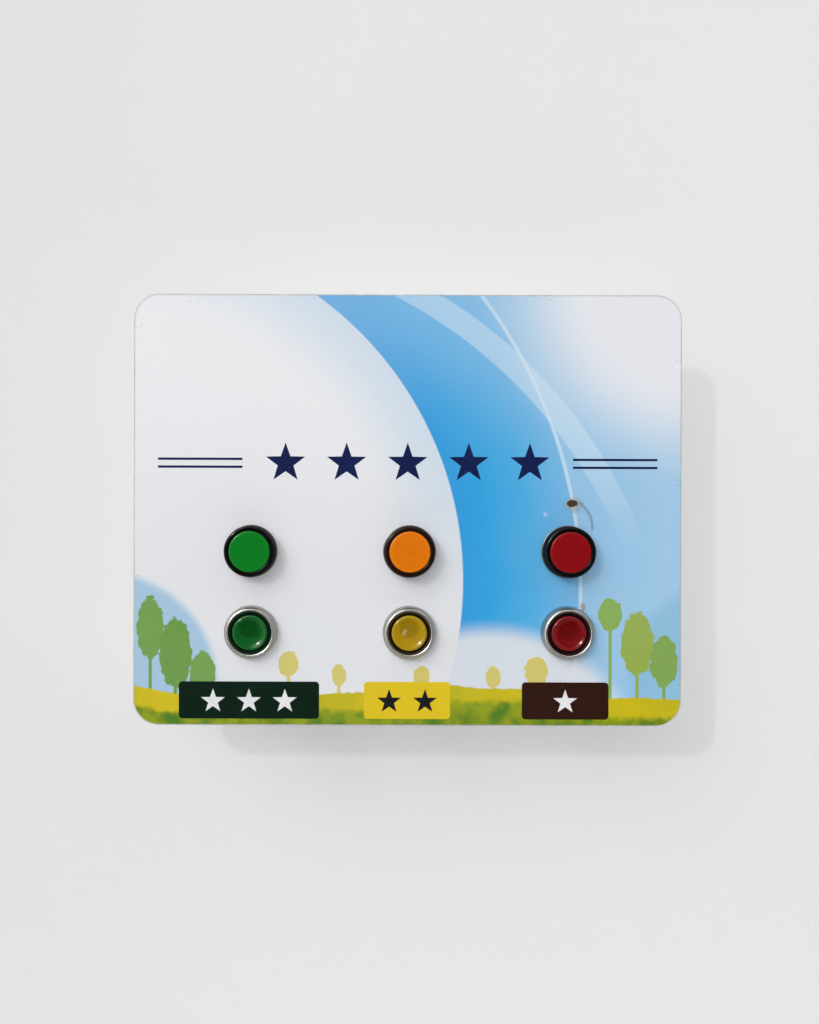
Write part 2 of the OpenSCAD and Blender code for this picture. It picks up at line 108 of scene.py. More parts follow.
class Term:
    """One output of a node. Sums and products on it add Math nodes."""

    def __init__(self, graph, socket):
        self.graph = graph
        self.socket = socket

    def maths(self, operation, first, second=0.0):
        return self.graph.node(
            "ShaderNodeMath", {"operation": operation}, {0: first, 1: second})

    def __add__(self, other):
        return self.maths("ADD", self, other)

    __radd__ = __add__

    def __sub__(self, other):
        return self.maths("SUBTRACT", self, other)

    def __rsub__(self, other):
        return self.maths("SUBTRACT", other, self)

    def __mul__(self, other):
        return self.maths("MULTIPLY", self, other)

    __rmul__ = __mul__

    def __truediv__(self, other):
        return self.maths("DIVIDE", self, other)

    def __rtruediv__(self, other):
        return self.maths("DIVIDE", other, self)

    def __pow__(self, other):
        return self.maths("POWER", self, other)

    def __neg__(self):
        return self.maths("MULTIPLY", self, -1.0)

    def __abs__(self):
        return self.maths("ABSOLUTE", self)

    def least(self, other):
        return self.maths("MINIMUM", self, other)

    def most(self, other):
        return self.maths("MAXIMUM", self, other)

    def wave(self):
        return self.maths("SINE", self)

    def fade(self, start, end):
        """0 at start, 1 at end, and smooth in between."""
        settings = {"interpolation_type": "SMOOTHSTEP"}
        inputs = {"Value": self, "From Min": start, "From Max": end}
        return self.graph.node("ShaderNodeMapRange", settings, inputs)


def colour(code):
    """A colour as it looks on a screen, such as "#E8E8EC", in Blender's own values."""
    parts = [int(code[k:k + 2], 16) / 255 for k in (1, 3, 5)]
    return [c / 12.92 if c < 0.04045 else ((c + 0.055) / 1.055) ** 2.4 for c in parts] + [1.0]


class Finish(Graph):
    """A material, with its patterns in millimetres of the piece's own place."""

    def __init__(self, name):
        self.material = bpy.data.materials.new(name)
        self.material.use_nodes = True
        super().__init__(self.material.node_tree)
        self.shader = self.tree.nodes["Principled BSDF"]
        spot = self.node("ShaderNodeTexCoord", {}, {}, "Object")
        scaled = self.node(
            "ShaderNodeVectorMath", {"operation": "SCALE"}, {0: spot, "Scale": 1 / mm})
        self.place = scaled
        self.x, self.y, self.z = self.outputs(
            self.node("ShaderNodeSeparateXYZ", {}, {0: scaled}))

    def noise(self, size, detail=2.0, rough=0.5, stretch=(1, 1, 1), seed=0.0):
        """Soft random patches of that size, from 0 to 1."""
        at = self.node(
            "ShaderNodeVectorMath", {"operation": "MULTIPLY_ADD"},
            {0: self.place, 1: [s / size for s in stretch], 2: [seed, seed * 2, seed * 3]})
        return self.node(
            "ShaderNodeTexNoise", {}, {"Vector": at, "Scale": 1.0, "Detail": detail,
                                       "Roughness": rough})

    def mix(self, factor, first, second, blend="MIX"):
        """Mixes two colours, each of them a term or a code such as "#E8E8EC"."""
        first, second = (colour(c) if isinstance(c, str) else c for c in (first, second))
        settings = {"data_type": "RGBA", "blend_type": blend}
        return self.node("ShaderNodeMix", settings, {0: factor, 6: first, 7: second}, 2)

    def bump(self, height, depth, under=None):
        """Raises the surface by height times depth, in millimetres."""
        inputs = {"Height": height, "Distance": depth * mm, "Strength": 1.0}
        if under is not None:
            inputs["Normal"] = under
        return self.node("ShaderNodeBump", {}, inputs)

    def set(self, **sockets):
        """Gives the shader its values and links, and returns the finished material."""
        for name, value in sockets.items():
            socket = self.shader.inputs[name.replace("_", " ")]
            if isinstance(value, Term):
                self.tree.links.new(value.socket, socket)
            else:
                socket.default_value = value
        return self.material

    def under(self, amount, other):
        """Lays another shader over this one, and returns the finished material."""
        own = Term(self, self.shader.outputs[0])
        mixed = self.node("ShaderNodeMixShader", {}, {0: amount, 1: own, 2: other})
        out = self.tree.nodes["Material Output"]
        self.tree.links.new(mixed.socket, out.inputs["Surface"])
        return self.material


def powder_coat(name, code):
    """Baked powder: an even skin of fine bumps, a little rubbed and dusty in places."""
    f = Finish(name)
    skin = f.noise(0.55, 3)
    wide = f.noise(38, 3, 0.6)
    dust = f.noise(9, 4, 0.65, seed=3)
    tone = f.mix(wide.fade(0.3, 0.75) * 0.5, code, "#9DA1A4")
    tone = f.mix(dust.fade(0.6, 0.8) * 0.35, tone, "#B3B0AA")
    scuff = f.noise(1.4, 2, stretch=(0.08, 1, 1), seed=7).fade(0.71, 0.76) * dust.fade(0.4, 0.6)
    tone = f.mix(scuff * 0.5, tone, "#85878A")
    return f.set(
        Base_Color=tone, Roughness=0.42 + skin * 0.12 - scuff * 0.12,
        Normal=f.bump(skin, 0.05))


def shade(piece):
    """Smooth faces, with a crisp line where two of them meet at more than 35 degrees."""
    piece.data.shade_smooth()
    piece.data.set_sharp_from_angle(angle=radians(35))


def placed(name, data):
    """Puts a new object in the scene: a mesh, a curve, a lamp or the camera."""
    made = bpy.data.objects.new(name, data)
    wanted.objects.link(made)
    return made


def settled(piece):
    """Turns a piece and its modifiers into one plain mesh object of the same name."""
    view = bpy.context.evaluated_depsgraph_get()
    mesh = bpy.data.meshes.new_from_object(piece.evaluated_get(view))
    name = piece.name
    bpy.data.objects.remove(piece)
    return placed(name, mesh)


def evened(piece):
    """Shades a piece so that its broad faces stay flat right up to their eased edges."""
    shade(piece)
    piece.modifiers.new("even shading", "WEIGHTED_NORMAL").keep_sharp = True
    return settled(piece)


def eased(node, width):
    """A welded copy of a CAD piece, with its sharp edges eased by that many mm."""
    piece = placed(node + "_finish", frame["nodes"][node].data.copy())
    form = bmesh.new()
    form.from_mesh(piece.data)
    bmesh.ops.remove_doubles(form, verts=form.verts, dist=1e-3 * mm)
    bmesh.ops.dissolve_limit(
        form, angle_limit=radians(0.5), verts=form.verts, edges=form.edges)
    form.to_mesh(piece.data)
    form.free()
    bevel = piece.modifiers.new("eased edges", "BEVEL")
    bevel.width = width * mm
    bevel.segments = 2
    bevel.angle_limit = radians(30)
    return evened(settled(piece))


def fit(piece, material, slot, *nodes, body="housing"):
    """Dresses a new piece and puts it on its body, in place of the CAD nodes it stands for."""
    piece.data.materials.clear()
    piece.data.materials.append(material)
    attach(piece, body)
    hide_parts(*nodes)


grey_coat = powder_coat("grey powder coat", "#A9ADB0")
fit(eased("rear_housing", 0.35), grey_coat, "powder_coat", "rear_housing")


# ---- Cable grommet ----
# A soft black rubber grommet, pushed into the dimple in the back of the housing. Its
# collar tapers along the cable, and its lips are thin enough to fold through the hole.

def drawn(name, form):
    """Keeps a form that was drawn point by point as a mesh."""
    mesh = bpy.data.meshes.new(name)
    form.to_mesh(mesh)
    form.free()
    return mesh


def middle_of(node):
    low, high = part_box(node)
    return (low + high) / 2


def turned(name, node, outline, segments=96):
    """A ring or cap turned about the axis of a CAD node.

    The outline is a closed list of (radius, distance out from the panel's face) in mm."""
    middle = middle_of(node)
    form = bmesh.new()
    spokes = []
    for k in range(segments):
        turn = 2 * pi * k / segments
        spokes.append([
            form.verts.new((
                middle.x + r * mm * cos(turn), panel_face - out * mm,
                middle.z + r * mm * sin(turn)))
            for r, out in outline])
    steps = len(outline)
    for k, spoke in enumerate(spokes):
        following = spokes[(k + 1) % segments]
        for s in range(steps):
            t = (s + 1) % steps
            if outline[s][0] > 0 or outline[t][0] > 0:
                form.faces.new((spoke[s], spoke[t], following[t], following[s]))
    bmesh.ops.remove_doubles(form, verts=form.verts, dist=1e-3 * mm)
    bmesh.ops.recalc_face_normals(form, faces=form.faces)
    made = placed(name, drawn(name, form))
    shade(made)
    return made


def bend(centre, radius, start, end, steps=6):
    """Points of an arc for a turned outline, with its angles in degrees."""
    angles = [radians(start + (end - start) * k / steps) for k in range(steps + 1)]
    return [(centre[0] + radius * cos(a), centre[1] + radius * sin(a)) for a in angles]


def rubber(name):
    """Moulded rubber: matt, with a bloom of grey dust where hands don't reach."""
    f = Finish(name)
    bloom = f.noise(3, 4, 0.7)
    fine = f.noise(0.25, 2)
    return f.set(
        Base_Color=f.mix(bloom.fade(0.5, 0.8) * 0.5, "#1C1C1D", "#343332"),
        Roughness=0.62 + bloom * 0.2, Normal=f.bump(fine, 0.02))


panel_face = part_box("front_panel")[0].y
black_rubber = rubber("black rubber")
grommet_low, grommet_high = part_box("cable_grommet")
back_lip = (panel_face - grommet_high.y) / mm
nose = (panel_face - grommet_low.y) / mm
lip_r = (grommet_high.x - grommet_low.x) / 2 / mm
cable_r = 4.5
groove_r = lip_r - 3
fit(
    turned("cable_grommet_finish", "cable_grommet", [
        (cable_r, back_lip + 0.4), (cable_r + 0.4, back_lip), (lip_r - 0.5, back_lip),
        *bend((lip_r - 0.5, back_lip + 0.5), 0.5, -90, 0, 4),
        (lip_r, back_lip + 1.6), (groove_r, back_lip + 1.6), (groove_r, back_lip + 3.1),
        (lip_r, back_lip + 3.1), (lip_r - 0.8, back_lip + 5.1),
        (cable_r + 3.2, back_lip + 5.1), (cable_r + 2.4, back_lip + 5.6),
        (cable_r + 1.6, nose - 0.3), (cable_r + 1.2, nose), (cable_r + 0.2, nose),
        (cable_r, nose - 0.2)]),
    black_rubber, "black_rubber", "cable_grommet")


# ---- Circuit board and what is on it ----
# A green fibreglass board on four brass standoffs holds a processor, a shielded radio
# module, a capacitor and screw terminals. It sits inside the closed housing.

def board_laminate(name):
    """Solder mask over copper: paler tracks run in two directions over the board."""
    f = Finish(name)
    across = (f.noise(14, 0, stretch=(1, 1, 0.05), seed=2) * 9).wave().fade(0.88, 0.94)
    along = (f.noise(18, 0, stretch=(0.05, 1, 1), seed=5) * 9).wave().fade(0.88, 0.94)
    track = across.most(along)
    weave = f.noise(0.4, 1)
    return f.set(
        Base_Color=f.mix(track, "#0D4A24", "#2C7A3E"),
        Roughness=0.28 + weave * 0.1, Normal=f.bump(track + weave * 0.2, 0.03))


def plated(name, code, rough=0.3, dull="#8E8C86"):
    """Bare or plated metal: its tone and gloss vary as it dulls, with fine marks."""
    f = Finish(name)
    cloud = f.noise(4, 4, 0.6)
    marks = f.noise(0.3, 3, 0.7, seed=4)
    return f.set(
        Base_Color=f.mix(cloud.fade(0.35, 0.8) * 0.6, code, dull),
        Metallic=1.0, Roughness=rough + (marks - 0.5) * 0.2 + cloud.fade(0.5, 0.8) * 0.1,
        Normal=f.bump(marks, 0.008))


def moulding(name, code, rough=0.45, worn="", size=0.35, gleam=0.3):
    """Moulded plastic: a fine grain, slow drifts of tone, and dull patches."""
    f = Finish(name)
    drift = f.noise(11, 3, 0.6, seed=1)
    grain = f.noise(size, 2, seed=6)
    tone = f.mix(drift.fade(0.3, 0.8) * 0.45, code, worn or code)
    tone = f.mix(grain.fade(0.2, 0.9) * 0.2, tone, "#808080", "SOFT_LIGHT")
    return f.set(
        Base_Color=tone, Roughness=rough + (grain - 0.5) * 0.15 + (drift - 0.5) * 0.12,
        Specular_IOR_Level=gleam, Normal=f.bump(grain, 0.012))


def leave(material, *nodes):
    """Gives CAD pieces that stay as they are their finish."""
    for node in nodes:
        mesh = frame["nodes"][node].data
        mesh.materials.clear()
        mesh.materials.append(material)


def lead_wire(name, code):
    """A stranded lead: glossy insulation that is slightly ribbed by the strands in it."""
    f = Finish(name)
    rib = f.noise(0.7, 2, seed=8)
    soil = f.noise(6, 3, seed=2).fade(0.5, 0.8)
    return f.set(
        Base_Color=f.mix(soil * 0.4, code, "#3C2E2C"),
        Roughness=0.34 + rib * 0.14, Normal=f.bump(rib, 0.03))


zinc = plated("zinc plate", "#C9C8C0", 0.32)
brass = plated("turned brass", "#C9A45A", 0.28, "#8C7443")
leave(board_laminate("board laminate"), "circuit_board")
leave(brass, "board_standoffs", "fixed_contacts")
leave(zinc, "board_screws", "terminal_screws", "rivet_nuts")
leave(moulding("chip resin", "#1B1C1F", 0.5, "#2A2B2E", 0.2), "processor_chip")
leave(plated("shield can", "#C4C6C8", 0.36), "wireless_module")
leave(moulding("capacitor sleeve", "#1D2B4C", 0.3, "#26365C"), "supply_capacitor")
leave(moulding("terminal plastic", "#2B7347", 0.42, "#3B8356"), "terminal_blocks")
leave(lead_wire("red lead", "#A51A1A"), "lamp_leads")
leave(lead_wire("black lead", "#202024"), "button_leads")


# ---- Cover frame and its screws ----
# A folded steel frame is bonded to the back of the panel. Its skirt slips over the
# housing, and four pan head screws in the sides hold it on.

def form_from(name, material, tree, mesh, values):
    """Runs a Geometry Nodes tree on a mesh, and keeps the result as a plain mesh object.

    Each value goes to the tree's input of that name."""
    piece = placed(name, mesh)
    step = piece.modifiers.new("form", "NODES")
    step.node_group = tree
    for item in tree.interface.items_tree:
        if item.in_out == "INPUT" and item.name in values:
            step[item.identifier] = values[item.name]
        if item.in_out == "INPUT" and item.name == "Material":
            step[item.identifier] = material
    made = settled(piece)
    shade(made)
    return made


def forming_tree(name, **inputs):
    """A new Geometry Nodes tree with those inputs, and a term for each one by name."""
    tree = bpy.data.node_groups.new(name, "GeometryNodeTree")
    tree.interface.new_socket("Piece", in_out="INPUT", socket_type="NodeSocketGeometry")
    for label, kind in inputs.items():
        tree.interface.new_socket(
            label.replace("_", " "), in_out="INPUT", socket_type="NodeSocket" + kind)
    tree.interface.new_socket("Piece", in_out="OUTPUT", socket_type="NodeSocketGeometry")
    graph = Graph(tree)
    entry = graph.outputs(graph.node("NodeGroupInput", {}, {}))
    return graph, {term.socket.name: term for term in entry if term.socket.name}


def vector(graph, x=0.0, y=0.0, z=0.0):
    return graph.node("ShaderNodeCombineXYZ", {}, {0: x, 1: y, 2: z})


def joined(graph, first, second):
    """Two forms as one."""
    both = graph.node("GeometryNodeJoinGeometry", {}, {0: first})
    graph.tree.links.new(second.socket, both.socket.node.inputs[0])
    return both


def row_of(graph, form, count, step, start=(0, 0, 0)):
    """Copies of a form in a straight row."""
    places = graph.node(
        "GeometryNodeMeshLine", {}, {"Count": count, "Start Location": start, "Offset": step})
    return graph.node("GeometryNodeInstanceOnPoints", {}, {"Points": places, "Instance": form})


def dressed(graph, form, material):
    """Real geometry, in one material."""
    real = graph.node("GeometryNodeRealizeInstances", {}, {0: form})
    return graph.node("GeometryNodeSetMaterial", {}, {"Geometry": real, "Material": material})


def hand_out(graph, form):
    """Ends a tree, and returns it."""
    out = graph.tree.nodes.new("NodeGroupOutput")
    graph.tree.links.new(form.socket, out.inputs[0])
    return graph.tree


def recessed_screws():
    """Cuts a cross into a screw's head, and sets it at two heights on both sides.

    The head's own top face is still left over the cross."""
    graph, given = forming_tree(
        "recessed screws", Head_x="Float", Height="Float", Slot_length="Float",
        Slot_width="Float", Slot_depth="Float", Seat_y="Float", Material="Material")
    deep = given["Slot depth"] * 2
    sunk = vector(graph, given["Head x"], given["Seat y"])
    long, wide = given["Slot length"], given["Slot width"]
    bars = [
        graph.node("GeometryNodeMeshCube", {}, {"Size": vector(graph, *size)})
        for size in ((deep, long, wide), (deep, wide, long))]
    cutter = graph.node(
        "GeometryNodeTransform", {}, {"Geometry": joined(graph, *bars), "Translation": sunk})
    screw = graph.node(
        "GeometryNodeMeshBoolean", {"operation": "DIFFERENCE"},
        {0: given["Piece"], 1: cutter})
    height = given["Height"]
    pair = dressed(
        graph, row_of(graph, screw, 2, vector(graph, z=height * 2), vector(graph, z=-height)),
        given["Material"])
    other = graph.node(
        "GeometryNodeTransform", {}, {"Geometry": pair, "Rotation": (0, pi, 0)})
    return hand_out(graph, joined(graph, pair, other))


def screw_blank(seat_x, seat_y, end_x):
    """One pan head screw lying along X, turned from its outline, at height zero."""
    shank_r, head_t = 1.95, 2.4
    outline = [(0, end_x), (shank_r - 0.5, end_x), (shank_r, end_x + 0.6), (shank_r, seat_x)]
    outline += [(head_r - 0.3, seat_x), (head_r, seat_x + 0.3), (head_r, seat_x + 0.9)]
    outline += bend((head_r - 1.5, seat_x + 0.9), 1.5, 0, 85, 6)
    outline += [(0, seat_x + head_t)]
    form = bmesh.new()
    last = form.verts.new((outline[0][1] * mm, seat_y, 0))
    verts = [last]
    for r, x in outline[1:]:
        verts.append(form.verts.new((x * mm, seat_y + r * mm, 0)))
    edges = [form.edges.new(pair) for pair in zip(verts, verts[1:])]
    bmesh.ops.spin(
        form, geom=verts + edges, cent=(0, seat_y, 0), axis=(1, 0, 0), angle=2 * pi,
        steps=48, use_merge=True)
    bmesh.ops.remove_doubles(form, verts=form.verts, dist=1e-3 * mm)
    bmesh.ops.recalc_face_normals(form, faces=form.faces)
    return drawn("screw blank", form)


def screw_plate(centre_y, centre_z, sunk_from, sunk_to):
    """Zinc plate, with painted shade that darkens and dulls the bottom of each cross recess."""
    f = Finish("screw zinc")
    dy = f.y - centre_y
    dz = abs(f.z) - centre_z
    # Painted shade: dark, dull zinc at the bottom of each cross recess.
    recess = ((dy * dy + dz * dz) ** 0.5).fade(2.5, 2.2) * abs(f.x).fade(sunk_from, sunk_to)
    cloud = f.noise(1.5, 3, 0.6)
    rings = f.noise(0.3, 2, stretch=(3, 1, 1), seed=4)
    tone = f.mix(cloud.fade(0.35, 0.8) * 0.5, "#C9C8C0", "#8E8C86")
    return f.set(
        Base_Color=f.mix(recess * 0.85, tone, "#24221F"), Metallic=1 - recess * 0.6,
        Roughness=0.28 + rings * 0.12 + recess * 0.3, Normal=f.bump(rings, 0.008))


fit(eased("cover_frame", 0.3), grey_coat, "powder_coat", "cover_frame")

screw_low, screw_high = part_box("cover_screws")
frame_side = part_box("cover_frame")[1].x / mm
screw_y = (screw_low.y + screw_high.y) / 2
screw_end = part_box("rear_housing")[1].x / mm - 8
screw_face = screw_high.x / mm
head_r = 3.8
screw_z = screw_high.z / mm - head_r
screw_zinc = screw_plate(screw_y / mm, screw_z, screw_face - 0.5, screw_face - 1.1)
fit(
    form_from(
        "cover_screws_finish", screw_zinc, recessed_screws(),
        screw_blank(frame_side, screw_y, screw_end),
        {"Head x": screw_high.x, "Height": screw_z * mm, "Seat y": screw_y,
         "Slot length": 4.2 * mm, "Slot width": 0.9 * mm, "Slot depth": 1.4 * mm}),
    screw_zinc, "zinc_steel", "cover_screws")


# ---- Front panel ----
# A 3 mm white sheet with round corners and six round holes. Its sawn edge has been
# handled: it is a little grubby, and grey in its fine saw marks.

def round_corners(half_w, half_h, corner, steps):
    """The outline of a rectangle with round corners, as points about its centre."""
    outline = []
    for quarter, (sx, sz) in enumerate(((1, 1), (-1, 1), (-1, -1), (1, -1))):
        centre = (sx * (half_w - corner), sz * (half_h - corner))
        outline += bend(centre, corner, 90 * quarter, 90 * quarter + 90, steps)
    return outline


def cut_sheet(name, node, corner, ease, holes=()):
    """A flat sheet the size of a CAD node, with round corners, eased edges and holes.

    Each hole is (x, z, radius) in mm."""
    middle = middle_of(node)
    half_w, half_t, half_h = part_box(node)[1] - middle
    corner, ease = corner * mm, ease * mm
    drawing = bpy.data.curves.new(name, "CURVE")
    drawing.dimensions = "2D"
    drawing.fill_mode = "BOTH"
    drawing.extrude = half_t - ease
    drawing.bevel_depth = ease
    drawing.bevel_resolution = 2
    drawing.offset = -ease
    outline = round_corners(half_w, half_h, corner, 24)
    rounds = [
        [(x * mm - middle.x + r * mm * cos(2 * pi * k / 96),
          z * mm - middle.z + r * mm * sin(2 * pi * k / 96)) for k in range(96)]
        for x, z, r in holes]
    for loop in [outline] + rounds:
        line = drawing.splines.new("POLY")
        line.points.add(len(loop) - 1)
        for point, (x, z) in zip(line.points, loop):
            point.co = (x, z, 0, 1)
        line.use_cyclic_u = True
    made = settled(placed(name, drawing))
    upright = Matrix.Translation(middle) @ Matrix.Rotation(radians(90), 4, "X")
    made.data.transform(upright)
    form = bmesh.new()
    form.from_mesh(made.data)
    bmesh.ops.remove_doubles(form, verts=form.verts, dist=1e-3 * mm)
    bmesh.ops.recalc_face_normals(form, faces=form.faces)
    form.to_mesh(made.data)
    form.free()
    return evened(made)


def sheet_edge(f, half_w, half_h, corner):
    """Distance in mm from the sheet's outline, less than nothing inside it."""
    over_x = (abs(f.x) - (half_w - corner)).most(0)
    over_z = (abs(f.z) - (half_h - corner)).most(0)
    return (over_x * over_x + over_z * over_z) ** 0.5 - corner


def panel_sheet(name, half_w, half_h, corner):
    """White sheet: a pale sawn edge with fine marks across it, grubby along its front."""
    f = Finish(name)
    off = sheet_edge(f, half_w, half_h, corner)
    rim = off.fade(-0.6, -0.1)
    front = f.y.fade(panel_face / mm + 0.9, panel_face / mm + 0.1)
    grime = f.noise(5, 5, 0.7, seed=1).fade(0.36, 0.66)
    saw = f.noise(0.5, 2, stretch=(1, 0.06, 1), seed=3)
    speck = f.noise(1.3, 3, 0.7, seed=9).fade(0.6, 0.66)
    tone = f.mix(rim * 0.7, "#E9E9EB", "#D2D0CC")
    tone = f.mix(rim * saw.fade(0.5, 0.8) * 0.3, tone, "#A9A6A0")
    tone = f.mix(rim * front * (0.45 + grime * 0.5), tone, "#75706A")
    tone = f.mix(rim * front * speck * 0.9, tone, "#33291F")
    return f.set(
        Base_Color=tone, Roughness=0.4 + rim * 0.25 + saw * 0.08,
        Normal=f.bump(saw * rim, 0.04))


panel_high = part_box("front_panel")[1]
half_panel_w = panel_high.x / mm
half_panel_h = panel_high.z / mm
panel_corner = 14
lamp_z = middle_of("lamp_collar_middle").z / mm
button_z = middle_of("button_cap_middle").z / mm
middle_x = middle_of("button_cap_middle").x / mm
pitch = middle_x - middle_of("button_cap_left").x / mm
hole_r = 11.25
holes = [
    (middle_x + k * pitch, z, hole_r) for k in (-1, 0, 1) for z in (lamp_z, button_z)]
fit(
    cut_sheet("front_panel_finish", "front_panel", panel_corner, 0.25, holes),
    panel_sheet("white panel sheet", half_panel_w, half_panel_h, panel_corner),
    "panel_sheet", "front_panel")


# ---- Printed overlay ----
# Self-adhesive vinyl, printed with broad soft sweeps of blue over a low green bank with
# round-headed bushes, under a satin film. It is scuffed, chipped and dirty at its edge.

def printed_film(name, half_w, half_h, corner):
    f = Finish(name)

    def spot(cx, cz, wide, tall):
        """How far out a point is: 1 on an oval with those half sizes."""
        across = (f.x - cx) / wide
        up = (f.z - cz) / tall
        return (across * across + up * up) ** 0.5

    def inside(cx, cz, radius, soft):
        """1 within a circle, fading over its edge."""
        return spot(cx, cz, 1, 1).fade(radius + soft / 2, radius - soft / 2)

    ragged = f.noise(3.6, 3, 0.6, seed=2) - 0.5
    cloudy = f.noise(60, 2, seed=4)

    # The paper white, greyer lower down as painted shade, and a pale blue corner
    tone = f.mix(f.z.fade(90, -70), "#EAEAED", "#DFE1E5")
    tone = f.mix(inside(-168, -98, 62, 6), tone, "#A5C5DC")

    # A broad sweep of blue: strongest along its crisp inner edge, paler away from it
    sweep_r, sweep_w = 196, 118
    away = spot(-165, -40, 1, 1) - sweep_r
    haze = away.fade(-46, 0) * f.z.fade(-60, 30)
    tone = f.mix(haze * 0.65, tone, "#C3D7E8")
    blue = f.node(
        "ShaderNodeValToRGB",
        {"stops": [(0.0, colour("#0699DB")), (0.12, colour("#16A1DD")),
                   (0.34, colour("#4CAEE0")), (0.62, colour("#83BDE4")),
                   (0.85, colour("#A3CBE7")), (1.0, colour("#C9DBEA"))]},
        {0: away / sweep_w})
    blue = f.mix(f.z.fade(30, 125) * 0.45, blue, "#9BC8E7")
    tone = f.mix(away.fade(-0.5, 0.5), tone, blue)

    # A paler strip outside a second arc, with a thin gleam between, and a white corner
    arc_x, arc_z, arc_r = -175, -45, 271
    strip = 1 - inside(arc_x, arc_z, arc_r, 1.0)
    tone = f.mix(strip * 0.85, tone, "#9AC6E5")
    gleam = inside(arc_x, arc_z, arc_r + 1.4, 0.8) * (1 - inside(arc_x, arc_z, arc_r - 0.6, 0.8))
    tone = f.mix(gleam * 0.6, tone, "#D9E7F2")
    ribbon = inside(-120, -110, 268, 1.0) * (1 - inside(-128, -118, 266, 1.0))
    tone = f.mix(ribbon * f.z.fade(-30, 40) * 0.5, tone, "#CFE2F0")
    tone = f.mix(inside(158, 128, 88, 66) * 0.95, tone, "#EAEAEE")
    foot = inside(46, -150, 84, 14) * f.z.fade(-36, -74)
    tone = f.mix(foot * 0.92, tone, "#DDDFE3")
    tone = f.mix(inside(176, -92, 52, 12) * 0.7, tone, "#82BBD6")

    # Bushes: a round head on a thin stem, with a ragged leafy edge
    def bush(cx, cz, wide, tall, code, strength=1.0):
        head = spot(cx, cz, wide, tall) + ragged * 0.55
        stem = abs(f.x - cx).fade(1.1, 0.7) * f.z.fade(cz, cz - 1)
        return f.mix(head.fade(1.04, 0.98).most(stem) * strength, tone, code)

    for cx, cz, wide, tall in ((-66, -86, 5.5, 7), (-38, -92, 4, 6), (48, -93, 4, 6),
                               (72, -90, 6.5, 8), (8, -93, 4.5, 6)):
        tone = bush(cx, cz, wide, tall, "#D0C252", 0.9)
    for cx, cz, wide, tall, code in (
            (-143, -66, 7.5, 17, "#6C9C40"), (-129, -80, 9, 19, "#659634"),
            (-114, -92, 7, 13, "#6D9E42"), (113, -58, 6.5, 9, "#84AE4C"),
            (128, -74, 9, 17, "#94AC42"), (143, -84, 7.5, 14, "#7FA448")):
        tone = bush(cx, cz, wide, tall, code)

    # The bank: yellow crest, green foot
    crest = -101.5 + (f.x / 33 + 0.8).wave() * 3.6 + (f.x / 9).wave() * 0.9
    bank = (f.z - crest - ragged * 2.2).fade(0.5, -0.3)
    low = (f.z - crest + 8.5 + (f.x / 21 + 2).wave() * 2.2 + ragged * 6).fade(1.5, -2.5)
    earth = f.mix(f.noise(24, 2, seed=7).fade(0.3, 0.7), "#CFBC00", "#BDB308")
    grass = f.mix(f.noise(9, 3, seed=5).fade(0.35, 0.7), "#8F9D00", "#4C7A10")
    tone = f.mix(bank, tone, f.mix(low, earth, grass))

    # Uneven ink, and the dots of the print
    tone = f.mix(((cloudy - 0.5) * 0.12 + 0.03) * (1 - bank * 0.8), tone, "#CFD4DA")
    dots = f.noise(0.55, 1, seed=11)
    tone = f.mix(0.12, tone, f.mix(dots, "#6E6E6E", "#929292"), "OVERLAY")

    # Dirt along the edge, and specks near the corners
    off = sheet_edge(f, half_w, half_h, corner)
    grime = f.noise(6, 5, 0.7, seed=1)
    line = off.fade(-0.6, -0.05) * (0.25 + 0.75 * grime.fade(0.35, 0.6))
    tone = f.mix(line * 0.35, tone, "#7C766E")
    speck = f.noise(1.5, 3, 0.75, seed=9).fade(0.64, 0.7) * off.fade(-9, -0.5)
    tone = f.mix(speck * 0.6, tone, "#4B4238")

    # A chip through to the brown adhesive over the right lamp, with a scratch below it
    scar = f.noise(1.6, 3, 0.6, seed=13) - 0.5
    chip = (spot(chip_x, chip_z, 3.3, 2.1) + scar * 1.1).fade(1.05, 0.85)
    torn = (spot(chip_x, chip_z, 3.9, 2.7) + scar * 1.3).fade(1.1, 0.95)
    halo = (spot(chip_x + 1, chip_z - 1, 6.4, 4.8) + scar * 1.4).fade(1.1, 0.6)
    tone = f.mix(halo * 0.6, tone, "#8798A6")
    tone = f.mix(torn * 0.7, tone, "#B9B0A8")
    tone = f.mix(chip, tone, "#3E2817")
    track = spot(chip_x - 5.2, chip_z - 13.4, 1, 1) + scar * 1.6 - 16.4
    run = abs(track).fade(1.1, 0.2) * f.x.fade(chip_x + 2, chip_x + 4)
    scratch = run * f.z.fade(chip_z - 17, chip_z - 13)
    tone = f.mix(scratch * 0.75, tone, "#6A8598")
    smear = (spot(smear_x, smear_z, 1.7, 3.2) + scar * 1.5).fade(1.1, 0.5)
    scuff = (spot(chip_x - 15, chip_z - 6, 1.4, 1.8) + scar).fade(1.1, 0.3)
    tone = f.mix(smear * 0.7, tone, "#94796A")
    tone = f.mix(scuff * 0.6, tone, "#B8D3EA")

    film = f.noise(1.1, 2, seed=14)
    fine = f.noise(0.6, 3, 0.7, stretch=(1, 1, 0.05), seed=15).fade(0.66, 0.72)
    rough = 0.36 + film * 0.06 + chip * 0.3 + scratch * 0.25 + fine * 0.1 + line * 0.2
    dent = f.bump(film, 0.012)
    return f.set(
        Base_Color=tone, Roughness=rough, Specular_IOR_Level=0.3,
        Normal=f.bump(chip * -1.0 - scratch * 0.4, 0.15, dent))


chip_x, chip_z = 91.7, 3.9
smear_x, smear_z = 97.8, -53.9
sheet_low, sheet_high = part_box("graphic_overlay")
overlay_corner = 13.8
fit(
    cut_sheet("graphic_overlay_finish", "graphic_overlay", overlay_corner, 0.05, holes),
    printed_film(
        "printed film", sheet_high.x / mm, sheet_high.z / mm, overlay_corner),
    "print_vinyl", "graphic_overlay")


# ---- Rating labels and the row of stars ----
# Small cut vinyl labels under the columns, green for three stars, yellow for two and
# brown for one. A row of five navy stars between thin rules heads the panel.

